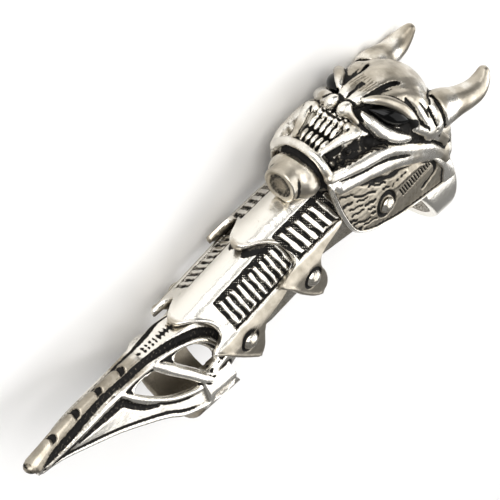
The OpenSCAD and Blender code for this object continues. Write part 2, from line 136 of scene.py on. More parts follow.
class Field:
    """Distances in mm to a solid that is the same on both sides of Y = 0, so only Y >= 0 is kept."""

    def __init__(self, lo, hi, step):
        """A cubic grid from corner to corner, with nothing in it."""
        self.lo = np.array(lo, float)
        self.step = step
        self.n = np.ceil((np.array(hi) - self.lo) / step).astype(int) + 1
        self.f = np.full(self.n, FAR, np.float32)

    def near(self, shape, k):
        """The part of the grid that a shape can change, and the shape's distances there."""
        lo, hi, dist = shape
        room = k + 3 * self.step
        first = np.floor((np.array(lo) - room - self.lo) / self.step).astype(int)
        last = np.ceil((np.array(hi) + room - self.lo) / self.step).astype(int) + 1
        first = np.clip(first, 0, self.n)
        last = np.clip(last, first, self.n)
        axes = [self.lo[a] + self.step * np.arange(first[a], last[a]) for a in range(3)]
        part = tuple(slice(first[a], last[a]) for a in range(3))
        return part, dist(*np.meshgrid(*axes, indexing="ij", sparse=True))

    def add(self, shape, k=0.3):
        """Joins a shape to the solid, with a fillet about k wide."""
        part, away = self.near(shape, k)
        self.f[part] = smooth_min(self.f[part], away, k)

    def cut(self, shape, k=0.3):
        """Takes a shape out of the solid, with its edge rounded by about k."""
        part, away = self.near(shape, k)
        self.f[part] = -smooth_min(-self.f[part], away, k)

    def mesh(self):
        """The zero surface of both sides: one point in each cell that it crosses, at the mean of its
        crossings with the cell's edges, and one quad round each crossed edge of the grid."""
        f = np.concatenate([self.f[:, :0:-1], self.f], 1)
        f = np.pad(f, 1, constant_values=FAR)
        lo = np.array([self.lo[0], -self.step * (self.n[1] - 1), self.lo[2]]) - self.step
        inside = f < 0
        halves = [slice(None, -1), slice(1, None)]
        corners = sum(inside[i, j, k].astype(np.int8) for i in halves for j in halves for k in halves)
        cells = np.argwhere((corners > 0) & (corners < 8))
        number = np.full(corners.shape, -1, np.int64)
        number[tuple(cells.T)] = np.arange(len(cells))
        total = np.zeros((len(cells), 3))
        hits = np.zeros(len(cells))
        for axis in range(3):
            others = [a for a in range(3) if a != axis]
            for i, j in ((0, 0), (0, 1), (1, 0), (1, 1)):
                at = np.zeros(3, int)
                at[others] = i, j
                start = cells + at
                end = start.copy()
                end[:, axis] += 1
                f0 = f[tuple(start.T)]
                f1 = f[tuple(end.T)]
                crossed = (f0 < 0) != (f1 < 0)
                p = np.tile(at.astype(float), (len(cells), 1))
                p[:, axis] += np.where(crossed, f0 / np.where(crossed, f0 - f1, 1), 0)
                total += p * crossed[:, None]
                hits += crossed
        verts = lo + self.step * (cells + total / hits[:, None])
        faces = []
        for axis, b, c in ((0, 1, 2), (1, 2, 0), (2, 0, 1)):
            one = [slice(None)] * 3
            two = [slice(None)] * 3
            one[axis], two[axis] = halves
            at = np.argwhere(inside[tuple(one)] != inside[tuple(two)])
            at = at[(at[:, b] > 0) & (at[:, c] > 0)]
            back_b = np.eye(3, dtype=int)[b]
            back_c = np.eye(3, dtype=int)[c]
            around = (at - back_b - back_c, at - back_c, at, at - back_b)
            quad = np.stack([number[tuple(corner.T)] for corner in around], 1)
            out = inside[tuple(at.T)]
            quad[~out] = quad[~out][:, ::-1]
            faces.append(quad)
        faces = np.concatenate(faces)
        return verts, faces[(faces >= 0).all(1)]


def strand(rows, steps=4):
    """A round, tapered strand along a smooth curve through rows x, y, z, r: the least distance to its spans,
    less the radius there."""
    path = smooth_rows(rows, steps)
    lo = (path[:, :3] - path[:, 3:]).min(0)
    hi = (path[:, :3] + path[:, 3:]).max(0)

    def dist(x, y, z):
        """The least distance to the spans."""
        best = np.inf
        for p, q in zip(path[:-1], path[1:]):
            ab = q[:3] - p[:3]
            dx, dy, dz = x - p[0], y - p[1], z - p[2]
            t = np.clip((dx * ab[0] + dy * ab[1] + dz * ab[2]) / max(ab @ ab, 1e-9), 0, 1)
            dx, dy, dz = dx - t * ab[0], dy - t * ab[1], dz - t * ab[2]
            best = np.minimum(best, np.sqrt(dx * dx + dy * dy + dz * dz) - (p[3] + t * (q[3] - p[3])))
        return best

    return lo, hi, dist


def egg(at, half, turn=0.0):
    """An ellipsoid, turned by `turn` degrees about Y. Its distance is a(a - 1)/b, where a is the length of
    the place over the half sizes, and b that over their squares."""
    at = np.array(at, float)
    half = np.array(half, float)
    reach = np.array([max(half[0], half[2]), half[1], max(half[0], half[2])])
    co, si = math.cos(math.radians(turn)), math.sin(math.radians(turn))

    def dist(x, y, z):
        """The distance, along the egg's own turned axes."""
        dx, dy, dz = x - at[0], y - at[1], z - at[2]
        dx, dz = co * dx - si * dz, si * dx + co * dz
        a = np.sqrt((dx / half[0]) ** 2 + (dy / half[1]) ** 2 + (dz / half[2]) ** 2)
        b = np.sqrt((dx / half[0] ** 2) ** 2 + (dy / half[1] ** 2) ** 2 + (dz / half[2] ** 2) ** 2)
        return a * (a - 1) / np.maximum(b, 1e-6)

    return at - reach, at + reach, dist


def rod(at, r, x0, x1):
    """A cylinder along X about the line through y = 0, z = at."""
    def dist(x, y, z):
        """The larger of the distances to the wall and to the ends."""
        return np.maximum(np.hypot(y, z - at) - r, np.maximum(x0 - x, x - x1))

    return (x0, -r, at - r), (x1, r, at + r), dist


# Meshes

def edges_of(faces):
    """Each edge of a mesh once, as a pair of point numbers."""
    n = faces.shape[1]
    pairs = np.concatenate([faces[:, [k, (k + 1) % n]] for k in range(n)])
    pairs.sort(axis=1)
    count = faces.max() + 1
    keys = np.unique(pairs[:, 0].astype(np.int64) * count + pairs[:, 1])
    return np.stack([keys // count, keys % count], 1)


def relax(values, edges, times, share=0.5):
    """Moves each value towards the mean of its neighbours, `times` over."""
    a, b = edges.T
    n = len(values)
    degree = np.maximum(np.bincount(a, minlength=n) + np.bincount(b, minlength=n), 1)
    for _ in range(times):
        mean = np.stack([(np.bincount(a, values[b, k], n) + np.bincount(b, values[a, k], n)) / degree
                         for k in range(values.shape[1])], 1)
        values = values + share * (mean - values)
    return values


def normals_of(verts, faces):
    """The outward direction at each point: its faces' cross products of diagonals, summed, at length one."""
    p = verts[faces]
    face_n = np.cross(p[:, 2] - p[:, 0], p[:, -1] - p[:, 1])
    total = np.stack([sum(np.bincount(faces[:, k], face_n[:, c], len(verts)) for k in range(faces.shape[1]))
                      for c in range(3)], 1)
    return total / np.maximum(np.linalg.norm(total, axis=1, keepdims=True), 1e-12)


def hollowness(verts, faces, spans=((14, 0.05), (70, 0.22))):
    """How deep each point lies in a recess, 0 to 1: how far the surface moves outwards when it is relaxed,
    for a short and a long span, each with the depth in mm that counts as full."""
    edges = edges_of(faces)
    normal = normals_of(verts, faces)
    deep = np.zeros(len(verts))
    flat, done = verts, 0
    for times, full in spans:
        flat = relax(flat, edges, times - done)
        done = times
        deep = np.maximum(deep, np.clip(((flat - verts) * normal).sum(1) / full, -1, 1))
    return deep


def grid_faces(rows, cols, wrap_rows=False, wrap_cols=False):
    """Quads of a grid of points numbered row by row."""
    i = np.arange(rows if wrap_rows else rows - 1)[:, None]
    j = np.arange(cols if wrap_cols else cols - 1)[None, :]
    i2, j2 = (i + 1) % rows, (j + 1) % cols
    quads = [i * cols + j, i * cols + j2, i2 * cols + j2, i2 * cols + j]
    return np.stack([np.broadcast_to(q, (i.shape[0], j.shape[1])).ravel() for q in quads], 1)


def out_facing(verts, faces):
    """The same faces, turned over if the mesh's signed volume is below zero."""
    p = verts[faces]
    volume = (np.cross(p[:, 0], p[:, 1]) * p[:, 2]).sum() + (np.cross(p[:, 0], p[:, 2]) * p[:, 3]).sum()
    return faces if volume > 0 else faces[:, ::-1]


def closed_shell(outer, inner):
    """A closed sheet between two grids of the same size: both faces and the four walls at their borders."""
    rows, cols = outer.shape[:2]
    n = rows * cols
    verts = np.concatenate([outer.reshape(-1, 3), inner.reshape(-1, 3)])
    top = grid_faces(rows, cols)
    ids = np.arange(n).reshape(rows, cols)
    ring = np.concatenate([ids[0, :-1], ids[:-1, -1], ids[-1, :0:-1], ids[:0:-1, 0]])
    after = np.roll(ring, -1)
    walls = np.stack([ring, ring + n, after + n, after], 1)
    return verts, np.concatenate([top, top[:, ::-1] + n, walls])


def closed_loops(*sheets):
    """A closed ring of cross-sections: grids side by side, one row for each section, joined both ways."""
    grid = np.concatenate(sheets, 1)
    verts = grid.reshape(-1, 3)
    return verts, out_facing(verts, grid_faces(*grid.shape[:2], True, True))


def mirrored(verts, faces, *values):
    """A mesh on the other side of Y = 0, its faces turned over so that they still point outwards."""
    return verts * [1, -1, 1], faces[:, ::-1], *values


def joined(*parts):
    """Several meshes as one: their points, faces, patina and tone put together."""
    starts = np.cumsum([0] + [len(part[0]) for part in parts])
    faces = np.concatenate([part[1] + start for part, start in zip(parts, starts)])
    verts, patina_and_shade, tone = (np.concatenate([part[k] for part in parts]) for k in (0, 2, 3))
    return verts, faces, patina_and_shade, tone


def make_object(name, verts, faces, patina_and_shade, tone):
    """A mesh object at the origin from worn points, with its patina and tone kept as attributes."""
    old = bpy.data.objects.get(name)
    if old:
        bpy.data.objects.remove(old)
    mesh = bpy.data.meshes.new(name)
    mesh.vertices.add(len(verts))
    mesh.vertices.foreach_set("co", to_row(verts).astype(np.float32).ravel())
    mesh.loops.add(faces.size)
    mesh.loops.foreach_set("vertex_index", faces.astype(np.int32).ravel())
    mesh.polygons.add(len(faces))
    mesh.polygons.foreach_set("loop_start", np.arange(0, faces.size, faces.shape[1], dtype=np.int32))
    mesh.polygons.foreach_set("use_smooth", np.ones(len(faces), bool))
    mesh.update(calc_edges=True)
    mesh.validate()
    for key, values in (("patina_and_shade", patina_and_shade), ("tone", tone)):
        layer = mesh.attributes.new(key, "FLOAT", "POINT")
        layer.data.foreach_set("value", np.clip(values, 0, 1).astype(np.float32))
    piece = bpy.data.objects.new(name, mesh)
    bpy.context.scene.collection.objects.link(piece)
    return piece


# The skull: strands as rows x, y, z, radius, on one side of the middle

HORN = [(-7.5, 6.8, 19.6, 3.7), (-4.0, 7.5, 20.4, 3.5), (-0.9, 8.1, 20.0, 2.8), (2.2, 8.5, 19.4, 2.45),
        (4.9, 8.75, 19.5, 2.15), (6.7, 8.6, 20.5, 1.65), (7.6, 8.3, 21.5, 1.15)]
JAW = [(-32.0, 6.0, 23.6, 0.9), (-28.8, 6.9, 23.7, 1.15), (-25.1, 7.5, 23.3, 1.3),
       (-21.5, 7.9, 22.9, 1.35), (-18.3, 8.1, 21.6, 1.35), (-13.6, 8.5, 18.5, 1.3), (-8.2, 9.0, 15.1, 1.2),
       (-4.0, 9.3, 9.6, 1.1), (-1.6, 9.6, 4.7, 1.0)]
LIP = [(-31.7, 6.0, 23.6, 0.85), (-31.9, 4.9, 25.2, 0.85), (-32.0, 3.4, 26.6, 0.8),
       (-32.1, 1.5, 27.3, 0.8), (-32.1, 0.0, 27.5, 0.8), (-32.1, -1.5, 27.3, 0.8)]
BROW = [(-20.4, 0.8, 29.6, 1.0), (-18.6, 1.2, 29.6, 1.4), (-15.6, 1.3, 28.9, 1.7), (-12.4, 1.4, 28.0, 1.8),
        (-9.4, 1.8, 26.4, 1.9), (-6.8, 2.6, 24.2, 1.85)]
HOOD = [(-17.4, 3.4, 29.2, 0.8), (-15.2, 4.0, 28.5, 1.3), (-12.6, 4.6, 27.3, 1.6), (-10.0, 5.4, 25.4, 1.8),
        (-8.0, 6.0, 23.2, 1.8)]
FOREHEAD = [(-19.8, 0.0, 28.9, 1.2), (-15.6, 0.0, 28.2, 2.4), (-11.4, 0.0, 27.1, 2.65),
            (-7.8, 0.0, 24.6, 2.6)]
LID = [(-19.2, 2.7, 30.4, 0.5), (-17.9, 3.8, 30.4, 0.8), (-16.2, 5.1, 29.7, 0.95), (-14.4, 6.6, 28.0, 1.0),
       (-13.1, 7.8, 25.9, 0.95), (-12.2, 8.6, 23.6, 0.8)]
POUCH = [(-20.7, 3.5, 28.7, 0.8), (-20.2, 4.8, 27.5, 1.2), (-19.3, 6.3, 25.8, 1.4),
         (-17.9, 7.5, 24.2, 1.4), (-16.0, 8.3, 22.8, 1.2), (-14.2, 8.7, 21.6, 0.8)]
TEMPLE = [(-12.4, 8.7, 22.9, 0.8), (-10.0, 9.0, 20.4, 0.9), (-7.2, 9.1, 17.4, 0.9), (-4.2, 9.2, 13.6, 0.8)]
TEMPLE_FOLD = [(-10.4, 6.6, 26.2, 0.6), (-9.8, 7.8, 24.0, 0.75), (-8.9, 8.6, 21.4, 0.8),
               (-6.6, 9.2, 18.0, 0.7), (-3.6, 9.5, 14.2, 0.6)]
FANG = [(-24.2, 5.0, 27.9, 0.95), (-26.2, 4.4, 27.9, 0.85), (-28.7, 3.6, 27.4, 0.66),
        (-30.7, 3.1, 27.0, 0.52), (-32.0, 3.0, 26.8, 0.5)]
EYE_IN = np.array([-19.6, 2.9, 29.2])
EYE_OUT = np.array([-12.4, 9.0, 24.3])
CREASE = [(-18.4, 2.3, 30.4, 0.16), (-15.9, 2.45, 30.0, 0.24), (-13.0, 2.6, 29.3, 0.34),
          (-10.9, 3.1, 28.5, 0.46), (-9.2, 4.0, 27.4, 0.2)]
MIDDLE_LINE = [(-20.4, 0.0, 30.7, 0.14), (-18.8, 0.0, 31.0, 0.1), (-16.8, 0.0, 31.05, 0.05)]
LID_CREASE = [(-12.0, 6.2, 27.8, 0.35), (-11.2, 7.3, 25.7, 0.4), (-10.9, 8.3, 23.4, 0.4),
              (-9.6, 9.0, 21.0, 0.4), (-6.4, 9.4, 17.0, 0.35)]
CHEEK_GROOVE = [(-24.4, 6.2, 26.2, 0.9), (-22.0, 7.4, 25.0, 0.95), (-18.6, 8.4, 23.0, 0.75),
                (-14.0, 9.0, 20.9, 0.55), (-9.8, 9.3, 18.2, 0.5), (-5.4, 9.6, 13.9, 0.45)]
SIDE_GAP = [(-31.0, 4.7, 25.3, 1.0), (-29.4, 5.1, 25.5, 1.5), (-27.2, 5.6, 25.8, 1.7),
            (-25.0, 6.1, 25.9, 1.6), (-23.2, 6.4, 25.7, 1.2), (-21.7, 6.2, 25.0, 1.0)]
TOOTH_PITCH = 1.15
HORN_WAY = (1.0, 0.32, 0.1)
CHEEK = [(-30.0, 6.6, 21.0, 1.6), (-20.0, 7.6, 19.5, 2.0), (-11.0, 8.0, 15.5, 2.2), (-3.0, 8.0, 10.0, 2.0)]
CHIN_GROOVE = [(-33.9, 0.0, 26.0, 0.55), (-33.8, 2.0, 25.6, 0.6), (-33.4, 4.0, 24.4, 0.5)]
NOSTRIL_WING = [(-22.6, 1.9, 30.0, 0.9), (-22.6, 3.0, 29.2, 0.6), (-22.3, 3.9, 28.4, 0.4)]
NOSE_BACK = [(-21.2, 0.0, 30.6, 0.55), (-20.9, 1.2, 30.1, 0.5), (-20.9, 2.6, 29.3, 0.45),
             (-21.3, 3.9, 28.0, 0.45)]
NOSE_FRONT = [(-24.2, 0.0, 29.3, 0.5), (-24.0, 1.8, 29.0, 0.45), (-23.3, 3.6, 28.9, 0.4)]
SIDE_TEETH = [(-30.0, 4.9, 25.1), (-28.2, 5.2, 25.2), (-26.3, 5.3, 25.4), (-29.2, 5.7, 24.0),
              (-27.2, 6.0, 24.0)]
# Strands that black and grey patina is painted in
BLACK_SOCKET = [(-18.8, 3.4, 28.4, 0.5), (-16.0, 5.8, 26.4, 1.3), (-13.6, 7.9, 24.7, 1.25),
                (-12.6, 8.8, 24.1, 0.8)]
BLACK_NOSE = [(-21.2, 0.3, 30.4, 0.5), (-20.9, 1.6, 30.0, 0.6), (-21.0, 3.0, 29.2, 0.55),
              (-21.5, 4.2, 28.3, 0.4)]
BLACK_GAP = [(-30.4, 5.0, 25.0, 1.2), (-28.0, 5.6, 24.8, 1.6), (-26.0, 5.9, 25.2, 1.6),
             (-23.6, 6.2, 25.4, 1.6), (-21.8, 6.4, 24.8, 1.2)]
BLACK_POUCH = [(-24.6, 6.5, 25.6, 1.1), (-22.0, 7.4, 25.2, 1.2), (-19.8, 8.0, 24.1, 0.9)]
# The chin knob: height of its axis and the plane of its dish
KNOB_Z = 22.5
DISH_X = -37.2


def across(way):
    """Two directions at right angles to a direction and to each other, the first one level."""
    side = np.cross(way, [0, 0, 1.0])
    side /= np.linalg.norm(side)
    return side, np.cross(way, side)


def ring_rows(centre, radius, r, count=14):
    """Rows of a closed ring round a horn, at right angles to the horn's direction."""
    side, up = across(np.array(HORN_WAY) / np.linalg.norm(HORN_WAY))
    a = np.linspace(0, 2 * np.pi, count + 1)[:, None]
    return np.concatenate([np.array(centre) + radius * (np.cos(a) * side + np.sin(a) * up), a * 0 + r], 1)


def plate_1_top(y):
    """Height of the first plate's arch over its rivet line, by distance from the middle."""
    return np.interp(y, [0, 1.4, 2.6, 3.2, 7.4, 8.6, 9.4], [11.1, 10.9, 10.4, 9.9, 5.4, 4.2, 3.0])


def over_plate(x, y, z):
    """Distance to the room kept for the first plate: all that lies below its arch, with 0.45 mm to spare."""
    co, si = math.cos(math.radians(SLOPE_1)), math.sin(math.radians(SLOPE_1))
    u = (x - PIVOT_1[0]) * co + (z - PIVOT_1[1]) * si
    w = -(x - PIVOT_1[0]) * si + (z - PIVOT_1[1]) * co
    return np.maximum((w - plate_1_top(y) - 0.45) * 0.75, u - 12.3)


def under_face(x, y, z):
    """Distance to the hollow under the face, for the first plate's arms: below a roof, between two walls."""
    side = y - 6.6 - 2.6 * ease((x + 30) / 8)
    roof = z - np.interp(x, [-32.1, -24.0, -20.6, -15.0, -11.5], [17.2, 15.6, 14.8, 14.2, 12.0])
    return np.maximum(np.maximum(side, x + 11.5), roof)


def skull_field(step):
    """The face: ellipsoids and tapered strands blended where they meet, then creases, sockets and gaps
    cut in."""
    f = Field((-39.6, 0, 9.0), (10.4, 11.6, 33.0), step)
    # Skull cap, muzzle, jaw, chin and the sleeve over the finger
    f.add(egg((-12.6, 0, 20.3), (11.0, 8.9, 9.5)), 1.0)
    f.add(egg((-21.3, 0, 22.0), (8.6, 7.2, 6.4)), 1.6)
    f.add(egg((-26.8, 0, 20.9), (7.0, 6.7, 4.2)), 1.2)
    f.add(egg((-31.0, 0, 23.2), (2.0, 5.6, 4.2)), 1.0)
    f.add(rod(12.0, 8.7, -12.0, -0.9), 1.2)
    # Cheek walls behind the side plates, the mouth and the gap beside it
    f.add(strand(CHEEK), 1.0)
    f.cut(egg((-27.8, 0, 28.3), (4.1, 4.5, 3.2)), 0.5)
    f.cut(strand(SIDE_GAP), 0.4)
    # Gums, upper and lower teeth, the column beside them and the small teeth in the side gap
    for k, half in enumerate((0.62, 0.62, 0.6, 0.62)):
        f.add(egg((-24.3 + 0.04 * k, k * TOOTH_PITCH, 28.4), (1.2, half, 1.0), 12), 0.2)
    f.add(egg((-24.0, 4.5, 28.1), (1.25, 0.9, 0.9), 20), 0.3)
    for k in range(3):
        y = k * TOOTH_PITCH
        f.add(strand([(-25.2, y, 27.7, 0.44), (-26.1, y, 27.85, 0.56),
                      (-27.25, 0.98 * y, 27.35, 0.36)]), 0.05)
        f.add(strand([(-28.1, 0.97 * y, 27.0, 0.36), (-29.2, 0.94 * y, 26.8, 0.46),
                      (-29.9, 0.9 * y, 26.3, 0.3), (-31.2, 0.86 * y, 26.0, 0.26)]), 0.05)
    f.add(strand(FANG), 0.15)
    for tooth in SIDE_TEETH:
        f.add(egg(tooth, (0.62, 0.5, 0.8), -20), 0.1)
    f.add(strand(LIP), 0.35)
    f.cut(strand(CHIN_GROOVE), 0.3)
    # Chin knob: a barrel with a dished front
    f.add(egg((-33.9, 0, 22.0), (3.7, 5.0, 3.7)), 0.5)
    f.add(rod(KNOB_Z, 3.35, -37.9, -34.0), 0.5)
    f.cut(rod(KNOB_Z, 2.3, -39.0, -37.5), 0.3)
    # Nose
    f.add(egg((-22.7, 1.35, 30.1), (1.75, 1.15, 1.5), 25), 0.25)
    f.add(strand(NOSTRIL_WING), 0.25)
    f.cut(strand(NOSE_BACK), 0.2)
    f.cut(strand(NOSE_FRONT), 0.2)
    # Brow, then the eye socket, a strand between the eye's corners that is thickest in its middle
    for rows, blend in ((FOREHEAD, 1.2), (HOOD, 0.6), (BROW, 0.4)):
        f.add(strand(rows), blend)
    along = np.linspace(0.02, 0.98, 9)[:, None]
    centre = EYE_IN + (EYE_OUT - EYE_IN) * along + [-0.25, 0.35, 0.5]
    f.cut(strand(np.concatenate([centre, 2.0 * (1 - 0.8 * (2 * along - 1) ** 2)], 1), 1), 0.35)
    for rows, blend in ((LID, 0.25), (POUCH, 0.3), (TEMPLE, 0.3), (TEMPLE_FOLD, 0.25)):
        f.add(strand(rows), blend)
    for rows, blend in ((CREASE, 0.12), (MIDDLE_LINE, 0.15), (LID_CREASE, 0.2), (CHEEK_GROOVE, 0.25)):
        f.cut(strand(rows), blend)
    # Horns in their grooves, and the jaw's edge
    f.add(strand(HORN, 6), 0.25)
    f.cut(strand(ring_rows((-5.0, 7.5, 20.2), 3.3, 0.38), 1), 0.2)
    f.add(strand(ring_rows((-6.0, 7.2, 20.1), 3.3, 0.38), 1), 0.15)
    f.cut(strand(ring_rows((-6.9, 6.9, 20.0), 3.3, 0.3), 1), 0.15)
    f.add(strand(JAW), 0.35)
    # The hollows for the first plate's arms, for the plate and for the finger
    f.cut(((-60, 0, 0), (-11.5, 9.2, 20), under_face), 0.2)
    f.cut(((-60, 0, 0), (-26.0, 9.6, 22), over_plate), 0.1)
    f.cut(rod(0.0, FINGER_R, -80, 30), 0.1)
    return f


def painted(verts, lines, strength):
    """A mask that is `strength` within strands given as rows x, y, z, r, on both sides, and fades over
    0.12 mm at their edge."""
    p = np.stack([verts[:, 0], np.abs(verts[:, 1]), verts[:, 2]])
    return np.maximum.reduce([strength * ease(0.5 - strand(rows, 3)[2](*p) / 0.12) for rows in lines])


def skull_mesh(step):
    """The face's surface with its patina: black where it is hollow and where strands paint it, beaded with
    cast grains, thinner on the far side and the knob, and a film of tone that the buff left on its high
    parts."""
    verts, faces = skull_field(step).mesh()
    verts = relax(verts, edges_of(faces), 2, 0.4)
    patina_and_shade = ease((hollowness(verts, faces) - 0.1) / 0.42)
    beads = ease((waves(verts, 0.66, 19) - 0.3) / 0.3) * ease(patina_and_shade * 2 - 0.8)
    verts = verts + normals_of(verts, faces) * (0.014 * waves(verts, 1.9, 3) + 0.06 * beads)[:, None]
    patina_and_shade = patina_and_shade * (1 - 0.5 * beads)
    x, y, z = verts[:, 0], np.abs(verts[:, 1]), verts[:, 2]
    mouth = egg((-27.6, 0, 25.4), (3.6, 4.6, 2.0))[2](x, y, z)
    patina_and_shade = np.maximum(patina_and_shade, 0.9 * ease(-mouth / 0.6))
    brow = [[(-18.8 + 0.3 * k, 0.4 + 0.36 * k, 30.9, 0.1),
             (-15.6 + 0.2 * k, 0.3 + 0.42 * k, 30.7 - 0.06 * k, 0.12),
             (-12.6 + 0.1 * k, 0.3 + 0.5 * k, 29.9 - 0.1 * k, 0.1),
             (-9.8, 0.4 + 0.6 * k, 28.4 - 0.15 * k, 0.06)] for k in range(5)]
    crease = [[(a, b, c, r + 0.14) for a, b, c, r in CREASE]]
    between_teeth = [[(-24.6, (k + 0.5) * TOOTH_PITCH, 28.6, 0.14),
                      (-27.4, (k + 0.48) * TOOTH_PITCH, 27.8, 0.2),
                      (-30.6, (k + 0.44) * TOOTH_PITCH, 26.9, 0.2)] for k in range(3)]
    for lines, strength in (([BLACK_SOCKET], 0.9), (brow, 0.35), (crease, 0.95), (between_teeth, 1.0),
                            ([BLACK_NOSE], 0.6)):
        patina_and_shade = np.maximum(patina_and_shade, painted(verts, lines, strength))
    gap = painted(verts, [BLACK_GAP, BLACK_POUCH], 1.0)
    patina_and_shade = np.maximum(patina_and_shade, gap * (0.5 + 0.35 * waves(verts, 0.8, 51)))
    far_gap = ease((verts[:, 1] - 4.0) / 0.6) * ease((-21.5 - x) / 1.5) * ease((z - 21) / 1.5)
    patina_and_shade = patina_and_shade * (1 - 0.8 * far_gap)
    dish = ease((DISH_X - x) / 0.2) * ease((2.5 - np.hypot(y, z - KNOB_Z)) / 0.4)
    patina_and_shade = np.where(x < DISH_X, 0.3 * patina_and_shade + 0.18 * dish, patina_and_shade)
    hollow = ease((14.5 - z) / 2.0) * ease((-9.0 - x) / 2.0)
    bore = ease((FINGER_R + 0.8 - np.hypot(y, z)) / 0.5)
    patina_and_shade = np.maximum(patina_and_shade, 0.25 * np.maximum(hollow, bore))
    # The buff reached the cheeks and the nose, and left film on the skull cap, the horns and the chin knob
    horn = ease((x + 7) / 2) * ease((y - 4.5) / 1.0)
    knob = ease((-33.6 - x) / 1.0) * ease((z - 18) / 1.0)
    tone = 0.14 + 0.26 * ease((x + 19.5) / 3) * ease((z - 25) / 3) + 0.25 * dish
    tone = tone + 0.16 * horn + 0.14 * knob + (0.1 + 0.1 * horn) * waves(verts, 5.0, 41)
    return verts, faces, patina_and_shade, tone


# The side plates of the head: outlines and cuts as x, z

SIDE_TOP = [(-32.4, 22.6), (-31.0, 23.4), (-28.8, 23.2), (-25.1, 22.7), (-21.5, 22.4), (-18.3, 21.2),
            (-13.6, 18.2), (-8.2, 14.9), (-4.6, 10.6), (-2.4, 7.0), (-0.5, 4.4)]
SIDE_LOW = [(-32.4, 21.6), (-31.7, 18.6), (-31.0, 15.4), (-29.8, 12.0), (-28.2, 9.8), (-24.6, 7.9),
            (-21.4, 6.8), (-17.4, 5.6), (-12.0, 4.7), (-8.0, 4.2), (-2.0, 3.5), (-0.5, 3.3)]
LEAF = [(-30.4, 20.4), (-28.4, 19.8), (-25.4, 18.7), (-21.2, 16.7), (-18.2, 15.6), (-15.1, 15.3),
        (-12.1, 14.6), (-9.9, 13.5), (-7.8, 11.6), (-7.2, 9.6), (-8.4, 8.4), (-10.4, 7.6)]
VEIN = [(-17.9, 13.3), (-14.3, 13.4), (-11.0, 13.3), (-8.9, 12.6)]
PLANKS = [
    # start x, z and end x, z of each cut
    (-30.4, 18.4, -27.8, 17.6), (-27.4, 16.9, -22.8, 15.4), (-30.0, 16.4, -28.2, 16.2),
    (-27.2, 15.9, -24.8, 15.3), (-28.9, 15.0, -26.3, 14.7), (-25.6, 14.3, -23.2, 13.8),
    (-28.7, 13.7, -26.3, 13.7), (-25.2, 13.0, -23.6, 12.6), (-29.3, 12.8, -28.0, 12.5),
    (-28.6, 11.9, -25.1, 11.1), (-24.6, 11.8, -23.4, 11.4), (-26.5, 10.7, -22.4, 9.8),
    (-27.9, 10.4, -27.2, 10.3), (-22.6, 16.3, -20.0, 15.4), (-20.9, 14.5, -19.4, 14.1),
    (-24.0, 17.2, -22.2, 16.8)]
# Depth of a cut
STROKE_DEPTH = 0.25


def side_y(x, z):
    """Outward reach of a side plate before its relief: flat below, leaning in to the face and the chin."""
    return 10.5 - 2.5 * ease((z - 9) / 13) - 0.9 * ease((-24.5 - x) / 7)


